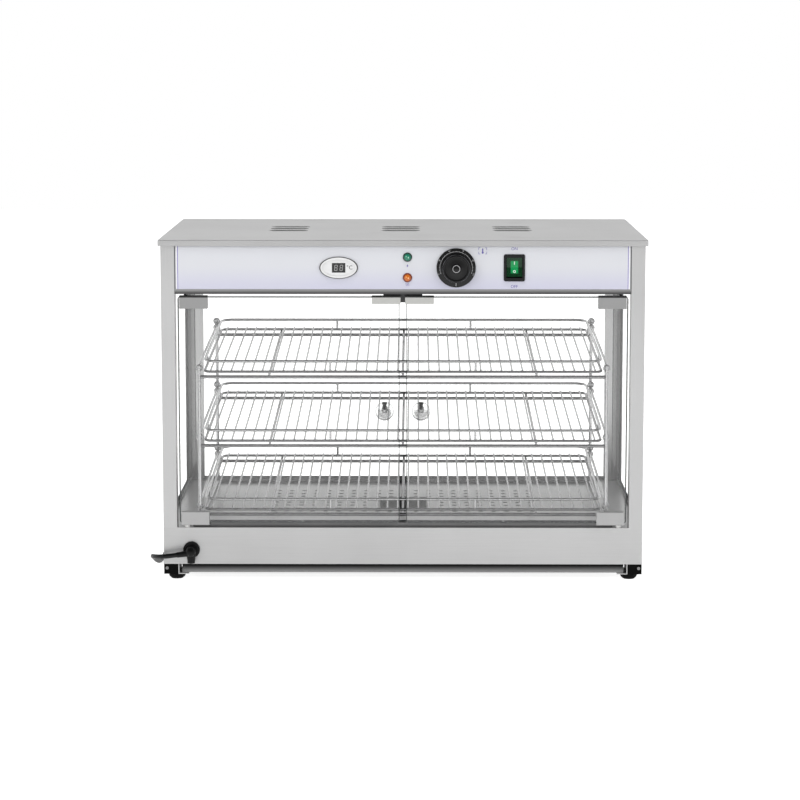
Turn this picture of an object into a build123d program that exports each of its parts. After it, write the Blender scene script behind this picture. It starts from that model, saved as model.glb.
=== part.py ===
import os
from math import asin, atan2, cos, degrees, hypot, pi, radians, sin, tan

from build123d import *

os.makedirs("parts", exist_ok=True)

# Case, in millimetres. The lid is its widest and deepest part.
lid_width = 700.0
lid_depth = 390.0
case_height = 495.0
lid_overhang = 4.0
lid_lip = 8.5
lid_corner_radius = 6.0
sheet = 1.2
fold_radius = 0.8
seam = 0.3
fit_gap = 0.2

# Levels from the ground up
foot_height = 9.7
plinth_height = 14.9
base_height = 53.5
header_height = 77.4
rail_height = 6.9

# Vents in the lid
vent_length = 58.0
vent_width = 19.0
vent_groups = 3
vent_group_pitch = 167.0
vent_offset = -4.0
vents_in_group = 3
vent_pitch = 33.0
vents_behind_middle = 7.0

# Base
top_flange = 20.0
bottom_flange = 14.0
deck_sheet = 0.7
hole_diameter = 7.4
hole_columns = 21
hole_rows = 8
hole_column_pitch = 19.3
hole_row_pitch = 22.9
holes_behind_middle = 9.0
tray_width = 72.0
tray_depth = 96.0
tray_height = 26.0
tray_rim = 4.0
tray_sheet = 0.8
tray_before_middle = 13.0
tray_clearance = 0.4
sill_depth = 5.0
sill_height = 5.4

# Plinth, corner blocks and feet
pan_side_gap = 26.5
pan_setback = 5.0
pan_rim = 2.6
pan_ground_gap = 11.2
block_width = 20.6
block_length = 42.0
block_inset = 0.3
bracket_lip = 15.0
foot_top_diameter = 25.2
foot_bottom_diameter = 23.0
foot_flat_diameter = 17.0
foot_curve_share = 0.3
foot_edge_share = 0.62
foot_from_side = 17.5
foot_from_face = 21.0
stud_diameter = 5.0
stud_length = 11.0
bolt_head_diameter = 4.6
bolt_head_height = 1.5
bolt_length = 7.0
bolt_diameter = 2.6
bolt_inset = 4.5

# Corner posts, corner beads and glass
post_width = 20.0
post_depth = 22.0
post_return = 20.0
rear_post_width = 27.0
rear_post_depth = 26.0
bead_width = 12.0
bead_setback = 12.0
bead_return = 4.6
bead_lug = 8.0
bead_lug_height = 1.6
glass_thickness = 4.0
glass_gap = 0.5
glass_seat_height = 5.0
glass_seat_wall = 0.9
glass_seat_floor = 2.0
glass_cover = 6.0

# Header and its controls
panel_thickness = 1.5
rail_depth = 22.0
header_flange = 12.0
ceiling_thickness = 1.0
display_from_middle = -91.5
display_width = 55.0
display_height = 31.4
display_ring = 4.0
display_proud = 3.0
window_width = 19.0
window_height = 13.6
module_width = 40.0
module_height = 20.0
module_depth = 26.0
lamp_from_middle = 6.6
power_lamp_rise = 15.1
heat_lamp_drop = 14.2
lamp_diameter = 13.4
lamp_proud = 5.0
lamp_body_diameter = 9.6
lamp_body_depth = 22.0
lamp_flange = 1.4
knob_from_middle = 76.0
knob_margin = 3.0
skirt_thickness = 2.4
dial_diameter = 40.0
dial_proud = 20.0
dial_rounding = 2.0
knob_gap = 0.8
spindle_diameter = 6.0
spindle_reach = 13.0
thermostat_width = 36.0
thermostat_height = 32.0
thermostat_depth = 40.0
bulb_diameter = 6.0
bulb_length = 86.0
capillary_diameter = 2.4
bulb_clip_width = 9.0
switch_from_middle = 159.0
switch_width = 30.2
switch_height = 38.7
switch_flange = 2.4
switch_body_depth = 24.0
switch_lip = 2.0
switch_corner_radius = 2.6
rocker_width = 22.0
rocker_height = 27.0
rocker_crown = 3.2
rocker_thickness = 8.0
rocker_throw = 16.0
rocker_clearance = 0.5

# Doors
door_bottom_gap = 5.9
door_top_gap = 3.9
door_middle_gap = 9.0
door_side_gap = 3.5
door_setback = 4.0
door_corner_radius = 4.0
hinge_from_edge = 11.0
hinge_block_width = 40.2
hinge_block_height = 18.4
hinge_block_wall = 3.4
hinge_block_edge = 2.8
hinge_block_overlap = 2.0
hinge_block_cap = 1.0
hinge_pin_diameter = 4.0
hinge_running_gap = 0.08
hinge_pin_hold = 12.0
washer_diameter = 8.0
washer_height = 3.4
strike_length = 40.0
strike_height = 10.7
strike_wall = 1.2
catch_width = 56.0
catch_depth = 13.0
catch_height = 13.0
ball_diameter = 27.0
ball_from_middle = 26.0
ball_level_share = 0.5093
stem_diameter = 5.0
stem_collar_diameter = 9.0
stem_reach = 6.0
stem_depth_in_ball = 9.0
stem_nut_height = 3.0

# Wire stand
stand_side_gap = 51.0
stand_front = 35.0
stand_rear_gap = 37.0
stand_wire = 5.0
weld_gap = 0.1
shelf_count = 3
shelf_pitch_share = 0.2975
bottom_shelf_rise = 13.6
shelf_rise = 20.9
arm_wire = 3.5
arm_height = 12.0
eye_radius = 4.0
eye_wire = 2.8
eye_spacing = 10.2
stub_from_middle = 146.0
stub_length = 8.0

# Wire shelves
shelf_side_gap = 8.0
frame_wire = 4.0
shelf_wire = 2.6
shelf_wires = 38
shelf_wire_end_gap = 9.5
under_bar_pitch = 193.0
weld_depth = 0.4
frame_overhang = 3.0
frame_corner_radius = 10.0
rim_height = 15.4
rim_corner_radius = 18.0
rim_post_from_middle = 105.0
rim_post_wire = 3.4
side_post_from_middle = 110.0

# Heater and wiring
heater_diameter = 8.0
heater_half_width = 150.0
heater_front = 70.0
heater_rear_gap = 90.0
heater_rise = 25.4
heater_bend = 30.0
bracket_foot = 20.0
bracket_thickness = 3.0
bracket_before_middle = 10.0
terminal_length = 46.0
terminal_depth = 20.0
terminal_height = 17.0
terminal_side_gap = 81.0
terminal_from_front = 48.0

# Cable gland, cord, coil and plug
cord_diameter = 6.8
gland_from_side = 40.5
gland_rise = 21.1
gland_flange_diameter = 24.0
gland_flange = 3.0
gland_neck_diameter = 15.6
gland_thread_diameter = 14.0
gland_thread = 12.0
gland_nut_diameter = 20.0
gland_nut_height = 5.0
gland_reach = 17.0
gland_tongue_length = 17.8
gland_tongue_tip = 11.0
gland_collar_height = 2.4
relief_length = 20.0
relief_root_diameter = 9.4
relief_tip_diameter = 7.8
relief_drop = 1.6
cord_slope = 8.0
coil_from_side = 84.0
coil_rear_gap = 43.4
coil_radius = 46.0
coil_pitch = 7.4
coil_layer = 7.4
coil_climb_inset = 1.4
coil_half_turns = 8
coil_climb_turn = 4
coil_samples = 60
ground_clearance = 0.05
plug_diameter = 37.0
plug_height = 21.5
plug_rounding = 3.0
plug_sleeve_length = 24.0
plug_sleeve_root = 13.0
plug_sleeve_tip = 9.0
plug_pin_diameter = 4.8
plug_pin_length = 19.0
plug_pin_spacing = 19.0

# The origin is on the ground, under the middle of the box that the case fills with its door knobs.
front_reach = stem_reach + ball_diameter - door_setback - lid_overhang
lid_front = (front_reach - lid_depth) / 2


def behind(distance):
    # Y of a point that lies this far behind the lid's front edge
    return lid_front + distance


body_half = lid_width / 2 - lid_overhang
body_front = behind(lid_overhang)
body_rear = behind(lid_depth - lid_overhang)
body_middle = (body_front + body_rear) / 2
base_bottom = foot_height + plinth_height
deck_top = base_bottom + base_height
header_bottom = case_height - header_height
opening_height = header_bottom - deck_top
lid_underside = case_height - sheet
wall_top = lid_underside
panel_half = body_half - post_width
door_outer_edge = panel_half - door_side_gap
hinge_from_middle = door_outer_edge - hinge_from_edge
foot_from_middle = body_half - foot_from_side
gland_from_middle = body_half - gland_from_side
gland_level = base_bottom + gland_rise
sides = (("left", -1), ("right", 1))
corners = [(side, end) for side in (-1, 1) for end in (-1, 1)]


def block(x_ends, y_ends, z_ends, mode=Mode.ADD):
    # A rectangular block between pairs of coordinates, given in any order
    ends = [sorted(pair) for pair in (x_ends, y_ends, z_ends)]
    lengths = [high - low for low, high in ends]
    with Locations(tuple(low for low, high in ends)):
        Box(*lengths, align=(Align.MIN, Align.MIN, Align.MIN), mode=mode)


def rod(start, end, diameter, tip_diameter=None, mode=Mode.ADD):
    # A round bar from one point to another, or a cone where the tip differs
    start, end = Vector(*start), Vector(*end)
    length = (end - start).length
    upright = (Align.CENTER, Align.CENTER, Align.MIN)
    with Locations(Plane(origin=start, z_dir=end - start).location):
        if tip_diameter is None:
            Cylinder(diameter / 2, length, align=upright, mode=mode)
        else:
            Cone(diameter / 2, tip_diameter / 2, length, align=upright, mode=mode)


# Lid: a flat sheet with a lip folded down all round, and three groups of vents
lid_middle = behind(lid_depth / 2)
vent_spot = (vent_offset, lid_middle + vents_behind_middle)
with BuildPart() as lid:
    with BuildSketch(Plane.XY.offset(case_height - lid_lip)):
        with Locations((0, lid_middle)):
            RectangleRounded(lid_width, lid_depth, lid_corner_radius)
    extrude(amount=lid_lip)
    fillet(lid.faces().sort_by(Axis.Z)[-1].edges(), fold_radius)
    with BuildSketch(Plane.XY.offset(case_height - lid_lip)):
        with Locations((0, lid_middle)):
            RectangleRounded(lid_width - 2 * sheet, lid_depth - 2 * sheet, lid_corner_radius - sheet)
    extrude(amount=lid_lip - sheet, mode=Mode.SUBTRACT)
    with BuildSketch(Plane.XY.offset(lid_underside)):
        with Locations(vent_spot):
            with GridLocations(vent_group_pitch, vent_pitch, vent_groups, vents_in_group):
                SlotOverall(vent_length, vent_width)
    extrude(amount=sheet, mode=Mode.SUBTRACT)
lid.part.label = "lid"
export_step(lid.part, "parts/lid.step")

# Base: four folded walls with a flange inside their top and bottom edges
base_inner = body_half - sheet
base_inner_front = body_front + sheet
base_inner_rear = body_rear - sheet
deck_seat = deck_top - deck_sheet
pin_radius = hinge_pin_diameter / 2
pin_hole_radius = pin_radius + hinge_running_gap
glass_front = body_front + door_setback
glass_back = glass_front + glass_thickness
hinge_line = glass_front + glass_thickness / 2
gland_middle = (-gland_from_middle, body_front, gland_level)
with BuildPart() as base_shell:
    block((-body_half, body_half), (body_front, body_rear), (base_bottom, deck_top))
    fillet(base_shell.edges().filter_by(Axis.Z), fold_radius)
    block(
        (-base_inner, base_inner),
        (base_inner_front, base_inner_rear),
        (base_bottom + sheet, deck_seat - sheet),
        Mode.SUBTRACT,
    )
    block(
        (-base_inner, base_inner),
        (base_inner_front, base_inner_rear),
        (deck_seat, deck_top),
        Mode.SUBTRACT,
    )
    for flange, low, high in (
        (bottom_flange, base_bottom, base_bottom + sheet),
        (top_flange, deck_seat - sheet, deck_seat),
    ):
        block(
            (flange - base_inner, base_inner - flange),
            (base_inner_front + flange, base_inner_rear - flange),
            (low, high),
            Mode.SUBTRACT,
        )
    for side in (-1, 1):
        rod(
            (side * hinge_from_middle, hinge_line, deck_seat - 2 * sheet),
            (side * hinge_from_middle, hinge_line, deck_top),
            2 * pin_hole_radius,
            mode=Mode.SUBTRACT,
        )
    rod(
        gland_middle,
        (-gland_from_middle, body_front + 2 * sheet, gland_level),
        gland_thread_diameter + 2 * fit_gap,
        mode=Mode.SUBTRACT,
    )
base_shell.part.label = "base_shell"
export_step(base_shell.part, "parts/base_shell.step")

# Floor of the heated space: holes in rows, a well in the middle and two hinge pin holes
tray_middle = lid_middle - tray_before_middle
tray_front = tray_middle - tray_depth / 2
tray_rear = tray_middle + tray_depth / 2
holes_middle = lid_middle + holes_behind_middle
well_half = tray_width / 2 + tray_clearance


def over_tray(x, y):
    # Whether a hole at this point would run into the rim of the water tray
    reach = tray_rim + hole_diameter / 2 + fit_gap
    across = abs(x) < tray_width / 2 + reach
    return across and tray_front - reach < y < tray_rear + reach


hole_places = [
    (
        (column - (hole_columns - 1) / 2) * hole_column_pitch,
        holes_middle + (row - (hole_rows - 1) / 2) * hole_row_pitch,
    )
    for column in range(hole_columns)
    for row in range(hole_rows)
]
with BuildPart() as floor_deck:
    block(
        (fit_gap - base_inner, base_inner - fit_gap),
        (base_inner_front + fit_gap, base_inner_rear - fit_gap),
        (deck_seat, deck_top),
    )
    block(
        (-well_half, well_half),
        (tray_front - tray_clearance, tray_rear + tray_clearance),
        (deck_seat, deck_top),
        Mode.SUBTRACT,
    )
    with BuildSketch(Plane.XY.offset(deck_seat)):
        with Locations(*[place for place in hole_places if not over_tray(*place)]):
            Circle(hole_diameter / 2)
        with Locations(*[(side * hinge_from_middle, hinge_line) for side in (-1, 1)]):
            Circle(pin_hole_radius)
    extrude(amount=sheet, mode=Mode.SUBTRACT)
floor_deck.part.label = "floor_deck"
export_step(floor_deck.part, "parts/floor_deck.step")

# Water tray: a deep pan that hangs by its rim in the well
with BuildPart() as water_tray:
    block(
        (-tray_width / 2, tray_width / 2),
        (tray_front, tray_rear),
        (deck_top - tray_height, deck_top + tray_sheet),
    )
    block(
        (-tray_width / 2 - tray_rim, tray_width / 2 + tray_rim),
        (tray_front - tray_rim, tray_rear + tray_rim),
        (deck_top, deck_top + tray_sheet),
    )
    block(
        (tray_sheet - tray_width / 2, tray_width / 2 - tray_sheet),
        (tray_front + tray_sheet, tray_rear - tray_sheet),
        (deck_top - tray_height + tray_sheet, deck_top + tray_sheet),
        Mode.SUBTRACT,
    )
water_tray.part.label = "water_tray"
export_step(water_tray.part, "parts/water_tray.step")

# Door sill: a low strip across the floor, just inside the doors
sill_half = hinge_from_middle - washer_diameter
raised_half = door_outer_edge - hinge_block_edge - hinge_block_width - 5 * seam
sill_back = glass_back + seam + sill_depth
with BuildPart() as door_sill:
    block(
        (-sill_half, sill_half),
        (glass_back + seam, sill_back),
        (deck_top, deck_top + washer_height),
    )
    block(
        (-raised_half, raised_half),
        (glass_back + seam, sill_back),
        (deck_top, deck_top + sill_height),
    )
door_sill.part.label = "door_sill"
export_step(door_sill.part, "parts/door_sill.step")

# Bottom pan: closes the base from below, set back behind its faces
pan_half = body_half - pan_side_gap
pan_front = body_front + pan_setback
pan_rear = body_rear - pan_setback
pan_top = base_bottom
with BuildPart() as bottom_pan:
    block((-pan_half, pan_half), (pan_front, pan_rear), (pan_ground_gap, pan_top))
    block(
        (-pan_half, pan_half),
        (pan_front - pan_rim, pan_rear + pan_rim),
        (pan_top - sheet, pan_top),
    )
    block(
        (sheet - pan_half, pan_half - sheet),
        (pan_front + sheet, pan_rear - sheet),
        (pan_ground_gap + sheet, pan_top),
        Mode.SUBTRACT,
    )
bottom_pan.part.label = "bottom_pan"
export_step(bottom_pan.part, "parts/bottom_pan.step")

# Corner blocks, foot brackets, feet and bolts stand in the four corners under the base.
block_outer = body_half - block_inset
block_inner = block_outer - block_width
block_front = body_front + block_inset
block_rear = body_rear - block_inset
foot_bolt_reach = foot_height + stud_length
foot_hole_diameter = stud_diameter + 2 * fit_gap


def end_span(end, near, far):
    # Y ends of a piece that starts this near the front or rear face and ends this far from it
    return (
        (body_front + near, body_front + far) if end < 0 else (body_rear - near, body_rear - far)
    )


def foot_place(side, end):
    # X and Y of a foot's axis
    return side * foot_from_middle, end_span(end, foot_from_face, 0)[0]


def bolt_line(side, end):
    # X and Z of the bolt in a corner block's end face, with the Y of that face
    face = block_front if end < 0 else block_rear
    return side * (block_outer - bolt_inset), face, foot_height + plinth_height * 0.6


with BuildPart() as corner_blocks:
    for side, end in corners:
        block(
            (side * block_inner, side * block_outer),
            end_span(end, block_inset, block_inset + block_length),
            (foot_height, base_bottom),
        )
        x, y = foot_place(side, end)
        rod((x, y, 0), (x, y, base_bottom), foot_hole_diameter, mode=Mode.SUBTRACT)
        x, y, z = bolt_line(side, end)
        rod((x, y, z), (x, y - end * bolt_length, z), bolt_diameter + fit_gap, mode=Mode.SUBTRACT)
corner_blocks.part.label = "corner_blocks"
export_step(corner_blocks.part, "parts/corner_blocks.step")

bracket_outer = block_inner - fit_gap
bracket_top = foot_height + sheet
with BuildPart() as foot_brackets:
    for side, end in corners:
        span = end_span(end, block_inset + fit_gap, block_inset + block_length)
        block(
            (side * (bracket_outer - sheet), side * bracket_outer),
            span,
            (foot_height, base_bottom),
        )
        block(
            (side * (bracket_outer - bracket_lip), side * bracket_outer),
            span,
            (foot_height, bracket_top),
        )
        x, y = foot_place(side, end)
        rod((x, y, 0), (x, y, base_bottom), foot_hole_diameter, mode=Mode.SUBTRACT)
foot_brackets.part.label = "foot_brackets"
export_step(foot_brackets.part, "parts/foot_brackets.step")

with BuildPart() as rubber_feet:
    for side, end in corners:
        x, y = foot_place(side, end)
        with BuildSketch(Plane((x, y, 0), x_dir=(1, 0, 0), z_dir=(0, -1, 0))):
            with BuildLine():
                Polyline(
                    (0, 0),
                    (foot_flat_diameter / 2, 0),
                    (foot_bottom_diameter / 2, foot_height * foot_curve_share),
                    (foot_top_diameter / 2, foot_height * foot_edge_share),
                    (foot_top_diameter / 2, foot_height),
                    (0, foot_height),
                    close=True,
                )
            make_face()
        revolve(axis=Axis((x, y, 0), (0, 0, 1)))
rubber_feet.part.label = "rubber_feet"
export_step(rubber_feet.part, "parts/rubber_feet.step")

with BuildPart() as base_bolts:
    for side, end in corners:
        x, y = foot_place(side, end)
        rod((x, y, foot_height), (x, y, foot_bolt_reach), stud_diameter)
        x, y, z = bolt_line(side, end)
        rod((x, y, z), (x, y - end * (bolt_length - 1), z), bolt_diameter)
        rod((x, y + end * bolt_head_height, z), (x, y, z), bolt_head_diameter)
base_bolts.part.label = "base_bolts"
export_step(base_bolts.part, "parts/base_bolts.step")

# Corner posts: folded channels in front, plain angles behind
with BuildPart() as front_posts:
    for side in (-1, 1):
        outer, inner = side * body_half, side * (body_half - post_width)
        z_ends = (deck_top, wall_top)
        block((outer, inner), (body_front, body_front + sheet), z_ends)
        block((outer, outer - side * sheet), (body_front, body_front + post_depth), z_ends)
        block((inner, inner + side * sheet), (body_front, body_front + post_return), z_ends)
    outside = front_posts.edges().filter_by(Axis.Z).filter_by_position(
        Axis.Y, body_front - seam, body_front + seam
    )
    fillet(outside, fold_radius)
front_posts.part.label = "front_posts"
export_step(front_posts.part, "parts/front_posts.step")

with BuildPart() as rear_posts:
    for side in (-1, 1):
        outer, inner = side * body_half, side * (body_half - rear_post_width)
        z_ends = (deck_top, wall_top)
        block((outer, inner), (body_rear - sheet, body_rear), z_ends)
        block((outer, outer - side * sheet), (body_rear - rear_post_depth, body_rear), z_ends)
    outside = rear_posts.edges().filter_by(Axis.Z).filter_by_position(
        Axis.Y, body_rear - seam, body_rear + seam
    )
    fillet(outside.sort_by(Axis.X)[0], fold_radius)
    fillet(rear_posts.edges().filter_by(Axis.Z).sort_by(Axis.X)[-1:], fold_radius / 2)
rear_posts.part.label = "rear_posts"
export_step(rear_posts.part, "parts/rear_posts.step")

# Glass: two side panes behind the posts, one rear pane between them, each on a channel seat
glass_top = header_bottom - seam
glass_bottom = deck_top + glass_seat_floor
side_outer = body_half - sheet - glass_gap
side_inner = side_outer - glass_thickness
side_front = body_front + glass_cover
side_rear = body_rear - glass_cover
rear_outer = side_inner - 2 * glass_seat_wall
rear_glass_back = body_rear - sheet - glass_gap
rear_glass_front = rear_glass_back - glass_thickness
with BuildPart() as side_glass:
    for side in (-1, 1):
        block(
            (side * side_inner, side * side_outer),
            (side_front, side_rear),
            (glass_bottom, glass_top),
        )
side_glass.part.label = "side_glass"
export_step(side_glass.part, "parts/side_glass.step")

with BuildPart() as rear_glass:
    block(
        (-rear_outer, rear_outer),
        (rear_glass_front, rear_glass_back),
        (glass_bottom, glass_top),
    )
rear_glass.part.label = "rear_glass"
export_step(rear_glass.part, "parts/rear_glass.step")

seat_wall = glass_gap - fit_gap / 2
with BuildPart() as glass_seats:
    for side in (-1, 1):
        block(
            (side * (side_inner - glass_seat_wall), side * (side_outer + seat_wall)),
            (side_front, side_rear),
            (deck_top, deck_top + glass_seat_height),
        )
        block(
            (side * (side_inner - fit_gap / 2), side * (side_outer + fit_gap / 2)),
            (side_front, side_rear),
            (glass_bottom, deck_top + glass_seat_height),
            Mode.SUBTRACT,
        )
    block(
        (-rear_outer, rear_outer),
        (rear_glass_front - glass_seat_wall, rear_glass_back + seat_wall),
        (deck_top, deck_top + glass_seat_height),
    )
    block(
        (-rear_outer, rear_outer),
        (rear_glass_front - fit_gap / 2, rear_glass_back + fit_gap / 2),
        (glass_bottom, deck_top + glass_seat_height),
        Mode.SUBTRACT,
    )
glass_seats.part.label = "glass_seats"
export_step(glass_seats.part, "parts/glass_seats.step")

# Corner beads: upright strips that hold the rear pane from inside, each with a foot lug
bead_inner = body_half - rear_post_width
bead_front = body_rear - bead_setback
with BuildPart() as corner_beads:
    for side in (-1, 1):
        inner = side * bead_inner
        outer = side * (bead_inner + bead_width)
        block((inner, outer), (bead_front, bead_front + sheet), (deck_top, glass_top))
        block(
            (inner, inner + side * sheet),
            (bead_front, bead_front + bead_return),
            (deck_top, glass_top),
        )
        block(
            (outer - side * sheet, outer + side * bead_lug),
            (bead_front - bead_lug / 2, bead_front + sheet),
            (deck_top, deck_top + bead_lug_height),
        )
corner_beads.part.label = "corner_beads"
export_step(corner_beads.part, "parts/corner_beads.step")

# Header: a front rail, a three-sided shell with an inside flange, and a ceiling on it
rail_rear = body_front + rail_depth
with BuildPart() as header_rail:
    block((-panel_half, panel_half), (body_front, rail_rear), (header_bottom, header_bottom + rail_height))
    block(
        (-panel_half, panel_half),
        (body_front + sheet, rail_rear),
        (header_bottom + sheet, header_bottom + rail_height),
        Mode.SUBTRACT,
    )
    for side in (-1, 1):
        rod(
            (side * hinge_from_middle, hinge_line, header_bottom),
            (side * hinge_from_middle, hinge_line, header_bottom + rail_height),
            2 * pin_hole_radius,
            mode=Mode.SUBTRACT,
        )
header_rail.part.label = "header_rail"
export_step(header_rail.part, "parts/header_rail.step")

header_front = body_front + post_depth + seam
header_rear_gap = rear_post_depth + seam
with BuildPart() as header_shell:
    block((-base_inner, base_inner), (header_front, base_inner_rear), (header_bottom, header_bottom + sheet))
    block(
        (header_flange - base_inner, base_inner - header_flange),
        (header_front, base_inner_rear - header_flange),
        (header_bottom, header_bottom + sheet),
        Mode.SUBTRACT,
    )
    for side in (-1, 1):
        block(
            (side * base_inner, side * body_half),
            (header_front, body_rear - header_rear_gap),
            (header_bottom, wall_top),
        )
    block(
        (rear_post_width + seam - body_half, body_half - rear_post_width - seam),
        (base_inner_rear, body_rear),
        (header_bottom, wall_top),
    )
header_shell.part.label = "header_shell"
export_step(header_shell.part, "parts/header_shell.step")

ceiling_level = header_bottom + sheet
ceiling_top = ceiling_level + ceiling_thickness
ceiling_front = body_front + post_depth + seam
bulb_y = behind(lid_depth * 0.72)
bulb_x = knob_from_middle + bulb_length
capillary_hole = capillary_diameter + 1.6
with BuildPart() as ceiling_plate:
    block(
        (fit_gap - base_inner, base_inner - fit_gap),
        (ceiling_front, base_inner_rear - fit_gap),
        (ceiling_level, ceiling_top),
    )
    rod((knob_from_middle, bulb_y, header_bottom), (knob_from_middle, bulb_y, ceiling_top), capillary_hole, mode=Mode.SUBTRACT)
ceiling_plate.part.label = "ceiling_plate"
export_step(ceiling_plate.part, "parts/ceiling_plate.step")

# Control panel with the openings of the controls
panel_bottom = header_bottom + rail_height + fit_gap
panel_back = body_front + panel_thickness
facing = Plane((0, body_front, 0), x_dir=(1, 0, 0), z_dir=(0, -1, 0))
panel_clear = header_height - rail_height - lid_lip
control_level = header_bottom + rail_height + panel_clear / 2
power_lamp_level = control_level + power_lamp_rise
heat_lamp_level = control_level - heat_lamp_drop
skirt_diameter = panel_clear - 2 * knob_margin
panel_places = {
    "display": (display_from_middle, control_level),
    "power": (lamp_from_middle, power_lamp_level),
    "heat": (lamp_from_middle, heat_lamp_level),
    "knob": (knob_from_middle, control_level),
    "switch": (switch_from_middle, control_level),
}
body_inset = 2 * switch_lip
with BuildPart() as control_panel:
    block((-panel_half, panel_half), (body_front, panel_back), (panel_bottom, wall_top))
    with BuildSketch(facing):
        with Locations(panel_places["display"]):
            Rectangle(module_width + 2 * fit_gap, module_height + 2 * fit_gap)
        with Locations(panel_places["power"], panel_places["heat"]):
            Circle(lamp_body_diameter / 2 + fit_gap)
        with Locations(panel_places["knob"]):
            Circle(spindle_diameter / 2 + 1)
        with Locations(panel_places["switch"]):
            Rectangle(
                switch_width - body_inset + 2 * fit_gap,
                switch_height - body_inset + 2 * fit_gap,
            )
    extrude(amount=-panel_thickness, mode=Mode.SUBTRACT)
control_panel.part.label = "control_panel"
export_step(control_panel.part, "parts/control_panel.step")

# Temperature display: an oval bezel, and a module with a face plate in it
with BuildPart() as display_bezel:
    with BuildSketch(facing):
        with Locations(panel_places["display"]):
            Ellipse(display_width / 2, display_height / 2)
    extrude(amount=display_proud)
    chamfer(display_bezel.faces().sort_by(Axis.Y)[0].edges(), display_proud * 0.45)
    with BuildSketch(facing):
        with Locations(panel_places["display"]):
            Ellipse(display_width / 2 - display_ring, display_height / 2 - display_ring)
    extrude(amount=display_proud, mode=Mode.SUBTRACT)
display_bezel.part.label = "display_bezel"
export_step(display_bezel.part, "parts/display_bezel.step")

face_proud = display_proud * 0.6
with BuildPart() as display_module:
    with BuildSketch(facing):
        with Locations(panel_places["display"]):
            Ellipse(
                display_width / 2 - display_ring - fit_gap,
                display_height / 2 - display_ring - fit_gap,
            )
    extrude(amount=face_proud)
    with BuildSketch(facing):
        with Locations(panel_places["display"]):
            Rectangle(module_width, module_height)
    extrude(amount=-module_depth)
    with BuildSketch(facing.offset(face_proud)):
        with Locations(panel_places["display"]):
            Rectangle(window_width, window_height)
    extrude(amount=-face_proud / 2, mode=Mode.SUBTRACT)
display_module.part.label = "display_module"
export_step(display_module.part, "parts/display_module.step")

# Pilot lamps: a domed lens on a threaded body
lens_radius = lamp_diameter / 2
lens_curve = lamp_proud - lamp_flange
dome_radius = (lens_radius**2 + lens_curve**2) / (2 * lens_curve)
dome_angle = asin(lens_radius / dome_radius) / 2
lens_half_way = (
    dome_radius * sin(dome_angle),
    lamp_proud - dome_radius * (1 - cos(dome_angle)),
)
for name in ("power", "heat"):
    x, z = panel_places[name]
    with BuildPart() as lamp:
        with BuildSketch(Plane((x, body_front, z), x_dir=(1, 0, 0), z_dir=(0, 0, -1))):
            with BuildLine():
                Polyline(
                    (0, lamp_proud),
                    (0, -lamp_body_depth),
                    (lamp_body_diameter / 2, -lamp_body_depth),
                    (lamp_body_diameter / 2, 0),
                    (lens_radius, 0),
                    (lens_radius, lamp_flange),
                )
                ThreePointArc((lens_radius, lamp_flange), lens_half_way, (0, lamp_proud))
            make_face()
        revolve(axis=Axis((x, body_front, z), (0, 1, 0)))
    lamp.part.label = f"{name}_lamp"
    export_step(lamp.part, f"parts/{name}_lamp.step")

# Thermostat: its body behind the panel, its spindle and knob in front, its bulb under the ceiling
knob_x, knob_z = panel_places["knob"]
body_face = panel_back + fit_gap
thermostat_rear = body_face + thermostat_depth
with BuildPart() as thermostat_body:
    block(
        (knob_x - thermostat_width / 2, knob_x + thermostat_width / 2),
        (body_face, thermostat_rear),
        (knob_z - thermostat_height / 2, knob_z + thermostat_height / 2),
    )
    rod(
        (knob_x, body_face, knob_z),
        (knob_x, body_face + spindle_reach, knob_z),
        spindle_diameter + 2 * hinge_running_gap,
        mode=Mode.SUBTRACT,
    )
thermostat_body.part.label = "thermostat_body"
export_step(thermostat_body.part, "parts/thermostat_body.step")

spindle_front = body_front - dial_proud + 2 * dial_rounding
with BuildPart() as knob_spindle:
    rod(
        (knob_x, spindle_front, knob_z),
        (knob_x, body_face + spindle_reach - fit_gap, knob_z),
        spindle_diameter,
    )
knob_spindle.part.label = "knob_spindle"
export_step(knob_spindle.part, "parts/knob_spindle.step")

with BuildPart() as thermostat_knob:
    with BuildSketch(Plane((knob_x, body_front, knob_z), x_dir=(1, 0, 0), z_dir=(0, 0, -1))):
        with BuildLine():
            Polyline(
                (0, knob_gap),
                (skirt_diameter / 2, knob_gap),
                (skirt_diameter / 2, knob_gap + skirt_thickness / 2),
                (skirt_diameter / 2 - skirt_thickness / 2, knob_gap + skirt_thickness),
                (dial_diameter / 2 + dial_rounding, knob_gap + skirt_thickness),
                (dial_diameter / 2, knob_gap + skirt_thickness + dial_rounding),
                (dial_diameter / 2, dial_proud - dial_rounding),
                (dial_diameter / 2 - dial_rounding, dial_proud),
                (0, dial_proud),
                close=True,
            )
        make_face()
    revolve(axis=Axis((knob_x, body_front, knob_z), (0, 1, 0)))
    rod(
        (knob_x, spindle_front - fit_gap, knob_z),
        (knob_x, body_front, knob_z),
        spindle_diameter + fit_gap / 2,
        mode=Mode.SUBTRACT,
    )
thermostat_knob.part.label = "thermostat_knob"
export_step(thermostat_knob.part, "parts/thermostat_knob.step")

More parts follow.
